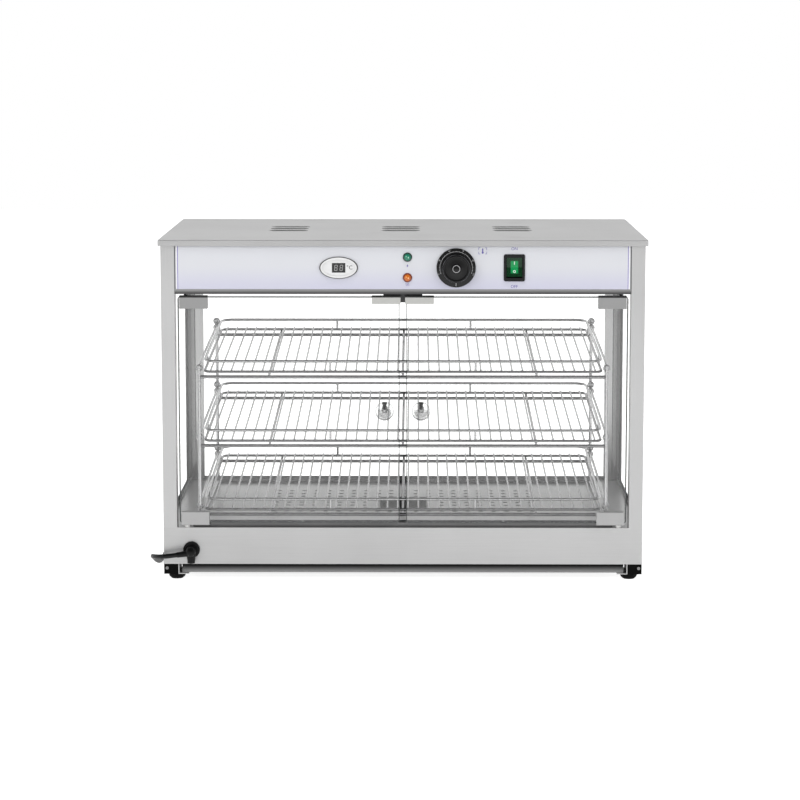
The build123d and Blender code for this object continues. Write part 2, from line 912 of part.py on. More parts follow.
# Bulb and capillary: the fine tube leaves the thermostat, drops through the ceiling and ends in the bulb
bulb_level = header_bottom - bulb_diameter / 2 - 2
capillary_bend = 6.0
with BuildPart() as thermostat_bulb:
    with BuildLine() as capillary:
        FilletPolyline(
            (knob_x, thermostat_rear, knob_z),
            (knob_x, bulb_y, knob_z),
            (knob_x, bulb_y, bulb_level),
            (knob_x + bulb_length / 2, bulb_y, bulb_level),
            radius=capillary_bend,
        )
    with BuildSketch(Plane((knob_x, thermostat_rear, knob_z), z_dir=(0, 1, 0))):
        Circle(capillary_diameter / 2)
    sweep(path=capillary.line)
    rod(
        (knob_x + bulb_length / 3, bulb_y, bulb_level),
        (knob_x + bulb_length / 3 + bulb_length, bulb_y, bulb_level),
        bulb_diameter,
    )
thermostat_bulb.part.label = "thermostat_bulb"
export_step(thermostat_bulb.part, "parts/thermostat_bulb.step")

bulb_clip_x = knob_x + bulb_length
with BuildPart() as bulb_clip:
    block(
        (bulb_clip_x, bulb_clip_x + bulb_clip_width),
        (bulb_y - bulb_diameter, bulb_y + bulb_diameter),
        (bulb_level - bulb_diameter / 2 - sheet, ceiling_level),
    )
    rod(
        (bulb_clip_x, bulb_y, bulb_level),
        (bulb_clip_x + bulb_clip_width, bulb_y, bulb_level),
        bulb_diameter + 2 * fit_gap,
        mode=Mode.SUBTRACT,
    )
bulb_clip.part.label = "bulb_clip"
export_step(bulb_clip.part, "parts/bulb_clip.step")

# Rocker switch: a rim and hollow body, and a rocker with two faces on a pivot in it
switch_x, switch_z = panel_places["switch"]
rocker_pivot = body_front + rocker_thickness / 2
pocket_half_width = rocker_width / 2 + rocker_clearance
pocket_half_height = rocker_height / 2 + 2 * rocker_clearance
with BuildPart() as switch_body:
    with BuildSketch(facing):
        with Locations(panel_places["switch"]):
            RectangleRounded(switch_width, switch_height, switch_corner_radius)
    extrude(amount=switch_flange)
    chamfer(switch_body.faces().sort_by(Axis.Y)[0].edges(), switch_flange * 0.4)
    with BuildSketch(facing):
        with Locations(panel_places["switch"]):
            Rectangle(switch_width - body_inset, switch_height - body_inset)
    extrude(amount=-switch_body_depth)
    block(
        (switch_x - pocket_half_width, switch_x + pocket_half_width),
        (body_front - switch_flange, body_front + switch_body_depth - switch_lip),
        (switch_z - pocket_half_height, switch_z + pocket_half_height),
        Mode.SUBTRACT,
    )
    block(
        (switch_x - pocket_half_width, switch_x + pocket_half_width),
        (rocker_pivot + rocker_thickness, body_front + switch_body_depth - switch_lip),
        (switch_z - switch_lip, switch_z + switch_lip),
    )
switch_body.part.label = "switch_body"
export_step(switch_body.part, "parts/switch_body.step")

# At rest the rocker's upper half is pressed in, so it is drawn level and then turned by half its throw.
rocker_front = rocker_pivot - body_front + switch_flange - rocker_crown / 2
with BuildPart() as level_rocker:
    with BuildSketch(Plane.YZ):
        with BuildLine():
            Polyline(
                (rocker_thickness / 2, -rocker_height / 2 + switch_lip),
                (-rocker_front - rocker_crown, -rocker_height / 2),
                (-rocker_front, 0),
                (-rocker_front - rocker_crown, rocker_height / 2),
                (rocker_thickness / 2, rocker_height / 2 - switch_lip),
                close=True,
            )
        make_face()
    extrude(amount=rocker_width / 2, both=True)
switch_rocker = level_rocker.part.rotate(Axis.X, -rocker_throw / 2)
switch_rocker = switch_rocker.moved(Location((switch_x, rocker_pivot, switch_z)))
switch_rocker.label = "switch_rocker"
export_step(switch_rocker, "parts/switch_rocker.step")

# Doors: a pane with its hinge blocks and pins, strike plate, ball knob and stem
door_bottom = deck_top + door_bottom_gap
door_top = header_bottom - door_top_gap
door_inner = door_middle_gap / 2
ball_level = deck_top + opening_height * ball_level_share
hinge_block_outer = door_outer_edge - hinge_block_edge
hinge_block_inner = hinge_block_outer - hinge_block_width
hinge_block_bottom = door_bottom - hinge_block_overlap
hinge_block_top = door_top + hinge_block_cap
block_face = glass_front - hinge_block_wall
block_back = glass_back + hinge_block_wall
stem_hole = stem_diameter + 2 * fit_gap
for name, side in sides:
    with BuildPart() as door_glass:
        with BuildSketch(Plane((0, glass_front, 0), x_dir=(1, 0, 0), z_dir=(0, -1, 0))):
            with Locations((side * (door_inner + door_outer_edge) / 2, (door_bottom + door_top) / 2)):
                RectangleRounded(door_outer_edge - door_inner, door_top - door_bottom, door_corner_radius)
            with Locations((side * ball_from_middle, ball_level)):
                Circle(stem_hole / 2, mode=Mode.SUBTRACT)
        extrude(amount=-glass_thickness)
    door_glass.part.label = f"{name}_door_glass"
    export_step(door_glass.part, f"parts/{name}_door_glass.step")

    with BuildPart() as hinge_blocks:
        for low, high, pin_low, pin_high in (
            (
                hinge_block_bottom,
                hinge_block_bottom + hinge_block_height,
                deck_seat - sheet,
                hinge_block_bottom,
            ),
            (
                hinge_block_top - hinge_block_height,
                hinge_block_top,
                hinge_block_top,
                header_bottom + rail_height - sheet,
            ),
        ):
            block(
                (side * hinge_block_inner, side * hinge_block_outer),
                (block_face, block_back),
                (low, high),
            )
            rod(
                (side * hinge_from_middle, hinge_line, pin_low),
                (side * hinge_from_middle, hinge_line, pin_high),
                hinge_pin_diameter,
            )
        block(
            (side * hinge_block_inner, side * hinge_block_outer),
            (glass_front - fit_gap / 2, glass_back + fit_gap / 2),
            (door_bottom - fit_gap / 2, door_top + fit_gap / 2),
            Mode.SUBTRACT,
        )
    hinge_blocks.part.label = f"{name}_hinge_blocks"
    export_step(hinge_blocks.part, f"parts/{name}_hinge_blocks.step")

    strike_inner = side * (door_inner - strike_wall)
    with BuildPart() as strike_plate:
        block(
            (strike_inner, side * (door_inner + strike_length)),
            (glass_front - strike_wall, glass_back + strike_wall),
            (door_top - strike_height, door_top + strike_wall),
        )
        block(
            (side * (door_inner - fit_gap / 2), side * (door_inner + strike_length)),
            (glass_front - fit_gap / 2, glass_back + fit_gap / 2),
            (door_top - strike_height, door_top + fit_gap / 2),
            Mode.SUBTRACT,
        )
    strike_plate.part.label = f"{name}_strike_plate"
    export_step(strike_plate.part, f"parts/{name}_strike_plate.step")

    knob_middle = side * ball_from_middle
    ball_middle = glass_front - stem_reach - ball_diameter / 2
    ball_back = glass_front - stem_reach
    with BuildPart() as knob_stem:
        rod(
            (knob_middle, ball_back + stem_depth_in_ball, ball_level),
            (knob_middle, glass_back + stem_nut_height, ball_level),
            stem_diameter,
        )
        rod(
            (knob_middle, ball_back + fit_gap, ball_level),
            (knob_middle, glass_front - fit_gap / 2, ball_level),
            stem_collar_diameter,
        )
        rod(
            (knob_middle, glass_back + fit_gap / 2, ball_level),
            (knob_middle, glass_back + stem_nut_height, ball_level),
            stem_collar_diameter,
        )
        rod(
            (knob_middle, ball_back + fit_gap, ball_level),
            (knob_middle, ball_back - stem_depth_in_ball, ball_level),
            stem_diameter,
        )
    knob_stem.part.label = f"{name}_knob_stem"
    export_step(knob_stem.part, f"parts/{name}_knob_stem.step")

    with BuildPart() as ball_knob:
        with Locations((knob_middle, ball_middle, ball_level)):
            Sphere(ball_diameter / 2)
        rod(
            (knob_middle, ball_back + 1, ball_level),
            (knob_middle, ball_back - stem_depth_in_ball - fit_gap, ball_level),
            stem_diameter + fit_gap,
            mode=Mode.SUBTRACT,
        )
    ball_knob.part.label = f"{name}_ball_knob"
    export_step(ball_knob.part, f"parts/{name}_ball_knob.step")

# Hinge washers on the floor, and the magnetic catch behind the strike plates
with BuildPart() as hinge_washers:
    for side in (-1, 1):
        x = side * hinge_from_middle
        rod((x, hinge_line, deck_top), (x, hinge_line, deck_top + washer_height), washer_diameter)
        rod(
            (x, hinge_line, deck_top),
            (x, hinge_line, deck_top + washer_height),
            2 * pin_hole_radius,
            mode=Mode.SUBTRACT,
        )
hinge_washers.part.label = "hinge_washers"
export_step(hinge_washers.part, "parts/hinge_washers.step")

catch_front = glass_back + strike_wall + seam
with BuildPart() as magnetic_catch:
    block(
        (-catch_width / 2, catch_width / 2),
        (catch_front, catch_front + catch_depth),
        (header_bottom - catch_height, header_bottom),
    )
magnetic_catch.part.label = "magnetic_catch"
export_step(magnetic_catch.part, "parts/magnetic_catch.step")

# Wire stand: uprights on the floor, rails between them, sloping side arms and eyes
wire_radius = stand_wire / 2
front_line = behind(stand_front)
rear_line = behind(lid_depth - stand_rear_gap)
stand_run = rear_line - front_line
stand_half_width = body_half - stand_side_gap
shelf_half_width = stand_half_width - shelf_side_gap
shelf_pitch = opening_height * shelf_pitch_share
top_rail_level = deck_top + bottom_shelf_rise + shelf_pitch * (shelf_count - 1)
levels = [top_rail_level - shelf_pitch * level for level in range(shelf_count)]
front_top = top_rail_level + arm_height + eye_radius
rear_top = top_rail_level + shelf_rise + arm_height + eye_spacing + eye_radius
with BuildPart() as stand_uprights:
    for side in (-1, 1):
        x = side * stand_half_width
        rod((x, front_line, deck_top), (x, front_line, front_top), stand_wire)
        rod((x, rear_line, deck_top), (x, rear_line, rear_top), stand_wire)
stand_uprights.part.label = "stand_uprights"
export_step(stand_uprights.part, "parts/stand_uprights.step")

rail_half = stand_half_width - wire_radius - weld_gap
floor_rail_level = deck_top + wire_radius + weld_gap
with BuildPart() as stand_rails:
    for level in levels:
        rod((-rail_half, front_line, level), (rail_half, front_line, level), stand_wire)
        rear_level = level + shelf_rise
        rod((-rail_half, rear_line, rear_level), (rail_half, rear_line, rear_level), stand_wire)
    for line in (front_line, rear_line):
        rod((-rail_half, line, floor_rail_level), (rail_half, line, floor_rail_level), stand_wire)
    for side in (-1, 1):
        x = side * stand_half_width
        end_gap = wire_radius + weld_gap
        rod(
            (x, front_line + end_gap, floor_rail_level),
            (x, rear_line - end_gap, floor_rail_level),
            stand_wire,
        )
        stub_x = side * stub_from_middle
        rod(
            (stub_x, front_line - wire_radius - stub_length, floor_rail_level),
            (stub_x, front_line, floor_rail_level),
            stand_wire,
        )
stand_rails.part.label = "stand_rails"
export_step(stand_rails.part, "parts/stand_rails.step")

eye_offset = wire_radius + weld_gap + eye_wire / 2
arm_offset = eye_offset + eye_wire / 2 + weld_gap
slope = atan2(shelf_rise, stand_run)
with BuildPart() as stand_arms:
    for side in (-1, 1):
        x = side * stand_half_width
        for level in levels:
            start = level + arm_height + arm_offset * tan(slope)
            finish = level + arm_height + shelf_rise - arm_offset * tan(slope)
            rod(
                (x, front_line + arm_offset, start + eye_radius),
                (x, rear_line - arm_offset, finish + eye_radius),
                arm_wire,
            )
stand_arms.part.label = "stand_arms"
export_step(stand_arms.part, "parts/stand_arms.step")

with BuildPart() as stand_eyes:
    for side in (-1, 1):
        x = side * stand_half_width
        for level in levels:
            low = level + arm_height
            high = low + shelf_rise
            for y, z in (
                (front_line + eye_offset, low),
                (rear_line - eye_offset, high),
                (rear_line - eye_offset, high + eye_spacing),
            ):
                with Locations(Plane((x, y, z), z_dir=(0, 1, 0)).location):
                    Torus(eye_radius, eye_wire / 2)
stand_eyes.part.label = "stand_eyes"
export_step(stand_eyes.part, "parts/stand_eyes.step")

# Wire shelf, drawn level with its front rail along X at the origin, then set at its slope
shelf_run = hypot(shelf_rise, stand_run)
bar_level = wire_radius + weld_gap + frame_wire / 2
frame_level = bar_level + frame_wire - weld_depth
wire_level = frame_level + (frame_wire + shelf_wire) / 2 - weld_depth
rim_level = frame_level + rim_height
frame_depth = shelf_run + 2 * frame_overhang - frame_wire
half_wires = (shelf_wires - 1) / 2
shelf_wire_pitch = (shelf_half_width - shelf_wire_end_gap) / half_wires


shelf_near, shelf_far = -frame_overhang, shelf_run + frame_overhang


def wire_loop(level, radius):
    # A closed path with rounded corners in a plane parallel to the shelf
    ends = ((1, shelf_near), (1, shelf_far), (-1, shelf_far), (-1, shelf_near))
    with BuildLine() as loop:
        FilletPolyline(
            *[(side * shelf_half_width, y, level) for side, y in ends],
            radius=radius,
            close=True,
        )
    return loop.line


frame_path = wire_loop(frame_level, frame_corner_radius)
with BuildPart() as shelf_grid:
    with BuildSketch(Plane(frame_path @ 0, z_dir=frame_path % 0)):
        Circle(frame_wire / 2)
    sweep(path=frame_path)
    with Locations(
        *[
            Plane((under_bar_pitch * place, -frame_overhang, bar_level), z_dir=(0, 1, 0)).location
            for place in (-1, 0, 1)
        ]
    ):
        Cylinder(
            frame_wire / 2,
            shelf_run + 2 * frame_overhang,
            align=(Align.CENTER, Align.CENTER, Align.MIN),
        )
    with Locations(
        *[
            Plane(
                ((wire - half_wires) * shelf_wire_pitch, -frame_overhang, wire_level),
                z_dir=(0, 1, 0),
            ).location
            for wire in range(shelf_wires)
        ]
    ):
        Cylinder(
            shelf_wire / 2,
            shelf_run + 2 * frame_overhang,
            align=(Align.CENTER, Align.CENTER, Align.MIN),
        )

rim_path = wire_loop(rim_level, rim_corner_radius)
with BuildPart() as shelf_rim:
    with BuildSketch(Plane(rim_path @ 0, z_dir=rim_path % 0)):
        Circle(frame_wire / 2)
    sweep(path=rim_path)
    post_foot = frame_level + frame_wire / 2 + weld_gap
    for side in (-1, 1):
        for near in (-frame_overhang, shelf_run + frame_overhang):
            x = side * rim_post_from_middle
            rod((x, near, post_foot), (x, near, rim_level), rim_post_wire)
        for offset in (-side_post_from_middle, side_post_from_middle):
            y = shelf_run / 2 + offset
            rod(
                (side * shelf_half_width, y, post_foot),
                (side * shelf_half_width, y, rim_level),
                rim_post_wire,
            )

for name, level in zip(("top", "middle", "bottom"), levels):
    seat = Location((0, front_line, level), (degrees(slope), 0, 0))
    for kind, drawn in (("grid", shelf_grid), ("rim", shelf_rim)):
        placed = drawn.part.moved(seat)
        placed.label = f"{name}_shelf_{kind}"
        export_step(placed, f"parts/{name}_shelf_{kind}.step")

# Tubular heater in the base on two brackets, and a terminal block by the gland
heater_rear = lid_depth - heater_rear_gap
heater_level = base_bottom + heater_rise
with BuildPart() as heater_element:
    with BuildLine() as heater_path:
        FilletPolyline(
            (-heater_half_width, behind(heater_front), heater_level),
            (-heater_half_width, behind(heater_rear), heater_level),
            (heater_half_width, behind(heater_rear), heater_level),
            (heater_half_width, behind(heater_front), heater_level),
            radius=heater_bend,
        )
    with BuildSketch(Plane((-heater_half_width, behind(heater_front), heater_level), z_dir=(0, 1, 0))):
        Circle(heater_diameter / 2)
    sweep(path=heater_path.line)
heater_element.part.label = "heater_element"
export_step(heater_element.part, "parts/heater_element.step")

pan_floor = pan_ground_gap + sheet
bracket_front = lid_middle - bracket_before_middle
with BuildPart() as heater_brackets:
    for side in (-1, 1):
        x = side * heater_half_width
        block(
            (x - bracket_foot / 2, x + bracket_foot / 2),
            (bracket_front, bracket_front + bracket_thickness),
            (pan_floor, heater_level),
        )
        rod(
            (x, bracket_front, heater_level),
            (x, bracket_front + bracket_thickness, heater_level),
            heater_diameter + 2 * fit_gap,
            mode=Mode.SUBTRACT,
        )
heater_brackets.part.label = "heater_brackets"
export_step(heater_brackets.part, "parts/heater_brackets.step")

terminal_from_middle = body_half - terminal_side_gap
with BuildPart() as terminal_block:
    block(
        (-terminal_from_middle - terminal_length / 2, terminal_length / 2 - terminal_from_middle),
        (behind(terminal_from_front), behind(terminal_from_front) + terminal_depth),
        (pan_floor, pan_floor + terminal_height),
    )
    ways = 3
    with BuildSketch(Plane.XY.offset(pan_floor + terminal_height)):
        with Locations((-terminal_from_middle, behind(terminal_from_front) + terminal_depth / 2)):
            with GridLocations(terminal_length / ways, terminal_depth / 2, ways, 2):
                Circle(terminal_depth / 8)
    extrude(amount=-terminal_height / 3, mode=Mode.SUBTRACT)
terminal_block.part.label = "terminal_block"
export_step(terminal_block.part, "parts/terminal_block.step")

# Cable gland: a flange on the base, a domed neck, a tongue that points down and a relief sleeve
cord_radius = cord_diameter / 2
gland_x, _, gland_z = gland_middle
cord_line = body_front - gland_reach
down_slope = radians(cord_slope)
relief_z = gland_z - relief_drop
relief_end = (
    gland_x - relief_length * cos(down_slope),
    cord_line,
    relief_z - relief_length * sin(down_slope),
)
tongue_line = body_front - gland_reach / 2
tongue_end = gland_z - gland_tongue_length
with BuildPart() as cable_gland:
    rod(
        (gland_x, body_front, gland_z),
        (gland_x, body_front - gland_flange, gland_z),
        gland_flange_diameter,
    )
    rod(
        (gland_x, body_front + gland_thread, gland_z),
        (gland_x, cord_line, gland_z),
        gland_thread_diameter,
    )
    with Locations((gland_x, cord_line, gland_z)):
        Sphere(gland_thread_diameter / 2)
    rod((gland_x, cord_line, relief_z), relief_end, relief_root_diameter, relief_tip_diameter)
    rod(
        (gland_x, tongue_line, gland_z),
        (gland_x, tongue_line, tongue_end),
        gland_neck_diameter,
        gland_tongue_tip - 1,
    )
    rod(
        (gland_x, tongue_line, tongue_end + gland_collar_height),
        (gland_x, tongue_line, tongue_end),
        gland_tongue_tip,
    )
    with BuildSketch(Plane((gland_x, base_inner_front, gland_z), z_dir=(0, 1, 0))):
        RegularPolygon(gland_nut_diameter / 2, 6)
        Circle(gland_thread_diameter / 2 + fit_gap / 2, mode=Mode.SUBTRACT)
    extrude(amount=gland_nut_height)
cable_gland.part.label = "cable_gland"
export_step(cable_gland.part, "parts/cable_gland.step")

# Cord: out to the left, round the corner of the base, down to the ground and back along the side.
# Each point is a distance out from the case's left side, one behind the lid's front or rear edge,
# and a height above the ground.
ground = cord_radius + ground_clearance
plug_standoff = 12.0
first_run_length = 12.6
side_route = [
    (3.5, -8.2, 37.7),
    (12.4, 0.6, 36.1),
    (17.2, 12.2, 34.3),
    (18.4, 32.0, 29.8),
    (18.8, 54.0, 22.3),
    (18.2, 78.0, 13.4),
    (16.8, 104.0, 6.2),
    (15.6, 134.0, ground),
    (15.2, 178.0, ground),
    (16.8, 232.0, ground),
    (15.0, 286.0, ground),
]
rear_route = [
    (17.0, -54.0, ground),
    (16.5, -18.0, ground),
    (15.0, 6.0, ground),
    (8.4, 22.8, ground),
    (-4.1, 35.4, ground),
    (-20.7, 41.9, ground),
    (-49.0, coil_rear_gap, ground),
]
coil_x = coil_from_side - body_half
coil_near = lid_depth + coil_rear_gap
coil_start = (coil_x - cord_diameter, behind(coil_near), ground)
relief_way = Vector(-cos(down_slope), 0, -sin(down_slope))
cord_points = [Vector(*relief_end), Vector(*relief_end) + relief_way * first_run_length]
cord_points += [Vector(-body_half - out, behind(way), z) for out, way, z in side_route]
cord_points += [Vector(-body_half - out, behind(lid_depth + way), z) for out, way, z in rear_route]
cord_points.append(Vector(*coil_start))


def bend_radii(points):
    # Each corner's arc is as large as its two runs allow
    radii = []
    for before, corner, after in zip(points, points[1:], points[2:]):
        turn = radians((corner - before).get_angle(after - corner))
        shorter = min((corner - before).length, (after - corner).length)
        radii.append(0.45 * shorter / tan(turn / 2))
    return radii


cord_radii = bend_radii(cord_points)
print("cord bend radii", [round(radius, 1) for radius in cord_radii])
with BuildPart() as power_cord:
    with BuildLine() as cord_path:
        FilletPolyline(*cord_points, radius=cord_radii)
    first_run = cord_points[1] - cord_points[0]
    with BuildSketch(Plane(cord_points[0], z_dir=first_run)):
        Circle(cord_radius)
    sweep(path=cord_path.line)
cord_section = pi * cord_radius**2
cord_length = cord_path.wire().length
print("cord volume over section times length", power_cord.part.volume / cord_section / cord_length)
print("cord length", cord_length)
power_cord.part.label = "power_cord"
export_step(power_cord.part, "parts/power_cord.step")

# Coil: half turns that spiral in on the ground, climb one layer and spiral out on top.
# The crossing points lie on the line through the coil's middle, near side first.
coil_y = behind(coil_near) + coil_radius


def crossing(turn):
    # Distance of a crossing point from the coil's middle, and its height
    if turn < coil_climb_turn:
        radius = coil_radius - turn * coil_pitch / 2
    elif turn in (coil_climb_turn, coil_climb_turn + 1):
        radius = coil_radius - coil_climb_turn * coil_pitch / 2 - coil_climb_inset
    elif turn == coil_half_turns:
        radius = coil_radius + plug_standoff
    else:
        inner = coil_radius - coil_climb_turn * coil_pitch / 2
        radius = inner + (turn - coil_climb_turn - 1) * coil_pitch / 2
    height = ground if turn <= coil_climb_turn else ground + coil_layer
    return radius, height


def crossing_point(turn):
    # Even turns cross on the near side, odd ones on the far side
    radius, height = crossing(turn)
    return Vector(coil_x, coil_y - radius if turn % 2 == 0 else coil_y + radius, height)


crossings = [crossing_point(turn) for turn in range(coil_half_turns + 1)]
coil_end = crossings[-1] + Vector(cord_diameter, 0, 0)
with BuildPart() as cord_coil:
    with BuildLine() as coil_path:
        Line(Vector(*coil_start), crossings[0])
        for turn, (start, finish) in enumerate(zip(crossings, crossings[1:])):
            outward = 1 if turn % 2 == 0 else -1
            half_width = (finish - start).length / 2
            middle = (start + finish) * 0.5 + Vector(outward * half_width, 0, 0)
            ThreePointArc(start, middle, finish)
        Line(crossings[-1], coil_end)
    with BuildSketch(Plane(Vector(*coil_start), z_dir=(1, 0, 0))):
        Circle(cord_radius)
    sweep(path=coil_path.line)
coil_length = coil_path.wire().length
print("coil volume over section times length", cord_coil.part.volume / cord_section / coil_length)
print("coil length", coil_length, "cord and coil", cord_length + coil_length)

# Least gap of the coil to itself, between points at least half a turn apart
coil_points = []
for turn, (start, finish) in enumerate(zip(crossings, crossings[1:])):
    outward = 1 if turn % 2 == 0 else -1
    centre = (start + finish) * 0.5
    half = (finish - start).length / 2
    along = (start - centre).normalized()
    for step in range(coil_samples):
        angle = pi * step / coil_samples
        coil_points.append(centre + along * (half * cos(angle)) + Vector(outward * half * sin(angle), 0, 0))
coil_gap = min(
    (coil_points[i] - coil_points[j]).length
    for i in range(len(coil_points))
    for j in range(i + coil_samples, len(coil_points))
)
print("least gap of the coil to itself", coil_gap - cord_diameter)
cord_coil.part.label = "cord_coil"
export_step(cord_coil.part, "parts/cord_coil.step")

# Plug: a round body that lies on its back, with its sleeve towards the coil and its pins up
plug_x = coil_end.X + plug_sleeve_length + plug_diameter / 2
plug_middle = (plug_x, coil_end.Y)
with BuildPart() as mains_plug:
    with BuildSketch(Plane.XY.offset(ground_clearance)):
        with Locations(plug_middle):
            Circle(plug_diameter / 2)
    extrude(amount=plug_height)
    fillet(mains_plug.faces().sort_by(Axis.Z)[0].edges(), plug_rounding)
    rod(
        (coil_end.X, coil_end.Y, coil_end.Z),
        (plug_x - plug_diameter / 4, coil_end.Y, coil_end.Z),
        plug_sleeve_tip,
        plug_sleeve_root,
    )
    for place in (-1, 1):
        pin_y = coil_end.Y + place * plug_pin_spacing / 2
        rod(
            (plug_x, pin_y, ground_clearance + plug_height),
            (plug_x, pin_y, ground_clearance + plug_height + plug_pin_length),
            plug_pin_diameter,
        )
mains_plug.part.label = "mains_plug"
export_step(mains_plug.part, "parts/mains_plug.step")
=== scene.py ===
from math import cos, pi, radians, sin

import bmesh
import bpy
from mathutils import Matrix, Vector


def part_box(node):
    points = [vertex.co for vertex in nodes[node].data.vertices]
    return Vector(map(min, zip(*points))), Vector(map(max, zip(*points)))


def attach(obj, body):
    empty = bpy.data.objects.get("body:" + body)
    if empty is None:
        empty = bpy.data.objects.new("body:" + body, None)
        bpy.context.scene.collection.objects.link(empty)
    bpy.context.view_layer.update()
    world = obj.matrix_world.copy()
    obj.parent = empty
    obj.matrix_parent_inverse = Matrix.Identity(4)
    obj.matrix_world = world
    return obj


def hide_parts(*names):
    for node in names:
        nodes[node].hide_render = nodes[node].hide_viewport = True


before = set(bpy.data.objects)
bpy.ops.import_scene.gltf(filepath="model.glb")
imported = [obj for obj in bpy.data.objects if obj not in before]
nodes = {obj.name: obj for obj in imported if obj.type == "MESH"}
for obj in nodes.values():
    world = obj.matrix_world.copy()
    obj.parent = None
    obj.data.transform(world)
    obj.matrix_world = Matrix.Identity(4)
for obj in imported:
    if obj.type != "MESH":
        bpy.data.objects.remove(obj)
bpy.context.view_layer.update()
mm = 0.001
bpy.context.scene.view_settings.view_transform = "Standard"
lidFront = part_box("lid")[0].y
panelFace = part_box("control_panel")[0].y
print("frame loaded:", len(nodes), "nodes")


def middleOf(name):
    low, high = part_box(name)
    return (low + high) / 2


# ---- camera
view = {"place": (0.0168, -3.5860, 0.7928), "tilt": 6.90, "turn": 0.35, "lens": 108.06, "shift": -0.1}
camera = bpy.data.objects.new("camera", bpy.data.cameras.new("camera"))
bpy.context.scene.collection.objects.link(camera)
camera.location = view["place"]
camera.rotation_euler = (radians(90 - view["tilt"]), 0, radians(view["turn"]))
camera.data.lens = view["lens"]
camera.data.sensor_width = 36
camera.data.shift_y = view["shift"]
camera.data.clip_end = 60
bpy.context.scene.camera = camera

# ---- cord: out of the gland, round the corner, down and back, then its coil behind the case
cordForm = {
    "diameter": 6.8, "ground": 3.45, "side": 346.0, "depth": 390.0, "coilFromSide": 84.0,
    "coilRearGap": 43.4, "coilRadius": 46.0, "pitch": 7.4, "layer": 7.4, "inset": 1.4, "halfTurns": 8,
    "climb": 4, "standoff": 12.0, "arcPoints": 6, "slope": 8.0, "gland": (-305.5, 45.7), "reach": 17.0,
    "reliefDrop": 1.6, "reliefLength": 20.0, "firstRun": 12.6,
}
# each point: how far out from the case's left side, how far behind the lid's edge, how high
sideRoute = [
    (3.5, -8.2, 37.7), (12.4, 0.6, 36.1), (17.2, 12.2, 34.3), (18.4, 32.0, 29.8), (18.8, 54.0, 22.3),
    (18.2, 78.0, 13.4), (16.8, 104.0, 6.2), (15.6, 134.0, 3.45), (15.2, 178.0, 3.45),
    (16.8, 232.0, 3.45), (15.0, 286.0, 3.45),
]
rearRoute = [
    (17.0, -54.0, 3.45), (16.5, -18.0, 3.45), (15.0, 6.0, 3.45), (8.4, 22.8, 3.45),
    (-4.1, 35.4, 3.45), (-20.7, 41.9, 3.45), (-49.0, 43.4, 3.45),
]
caseFront = lidFront + 4 * mm
glandSpot = Vector((cordForm["gland"][0] * mm, caseFront, cordForm["gland"][1] * mm))
cordWay = Vector((-cos(radians(cordForm["slope"])), 0, -sin(radians(cordForm["slope"]))))
reliefStart = glandSpot + Vector((0, -cordForm["reach"], -cordForm["reliefDrop"])) * mm
reliefEnd = reliefStart + cordWay * cordForm["reliefLength"] * mm


def coilCrossing(turn):
    # where the coil crosses the line through its middle: even turns near, odd turns far
    c = cordForm
    inner = c["coilRadius"] - c["climb"] * c["pitch"] / 2
    if turn < c["climb"]:
        radius = c["coilRadius"] - turn * c["pitch"] / 2
    elif turn <= c["climb"] + 1:
        radius = inner - c["inset"]
    elif turn == c["halfTurns"]:
        radius = c["coilRadius"] + c["standoff"]
    else:
        radius = inner + (turn - c["climb"] - 1) * c["pitch"] / 2
    height = c["ground"] + (c["layer"] if turn > c["climb"] else 0)
    middle = lidFront / mm + c["depth"] + c["coilRearGap"] + c["coilRadius"]
    return Vector((c["coilFromSide"] - c["side"], middle + (radius if turn % 2 else -radius), height)) * mm


def cordPoints():
    c = cordForm
    points = [reliefEnd, reliefEnd + cordWay * c["firstRun"] * mm]
    for route, start in ((sideRoute, lidFront), (rearRoute, lidFront + c["depth"] * mm)):
        points += [Vector((-(c["side"] + out) * mm, start + way * mm, up * mm)) for out, way, up in route]
    points.append(coilCrossing(0) - Vector((c["diameter"] * mm, 0, 0)))
    step = pi / c["arcPoints"]
    for turn in range(c["halfTurns"]):
        start, finish = coilCrossing(turn), coilCrossing(turn + 1)
        centre, half = (start + finish) / 2, (finish - start).length / 2
        outward = -1 if turn % 2 else 1
        for k in range(c["arcPoints"]):
            angle = (k + 0.5) * step
            swing = outward * half * sin(angle) / cos(step / 2)
            points.append(centre + (start - centre) * (cos(angle) / cos(step / 2)) + Vector((swing, 0, 0)))
    last = coilCrossing(c["halfTurns"])
    return points + [last, last + Vector((c["diameter"] * mm, 0, 0))]


cordCurve = bpy.data.curves.new("flexCord", "CURVE")
cordCurve.dimensions = "3D"
spline = cordCurve.splines.new("NURBS")
route = cordPoints()
spline.points.add(len(route) - 1)
for point, spot in zip(spline.points, route):
    point.co = (*spot, 1)
    point.radius = cordForm["diameter"] / 2 * mm
spline.order_u = 3
spline.use_endpoint_u = True
spline.resolution_u = 6
cordCurve.bevel_depth = 1.0
cordCurve.bevel_resolution = 5
cordCurve.use_fill_caps = True
flexCord = bpy.data.objects.new("flexCord", cordCurve)
bpy.context.scene.collection.objects.link(flexCord)
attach(flexCord, "case")
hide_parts("power_cord", "cord_coil")
print("cord laid with", len(route), "points")


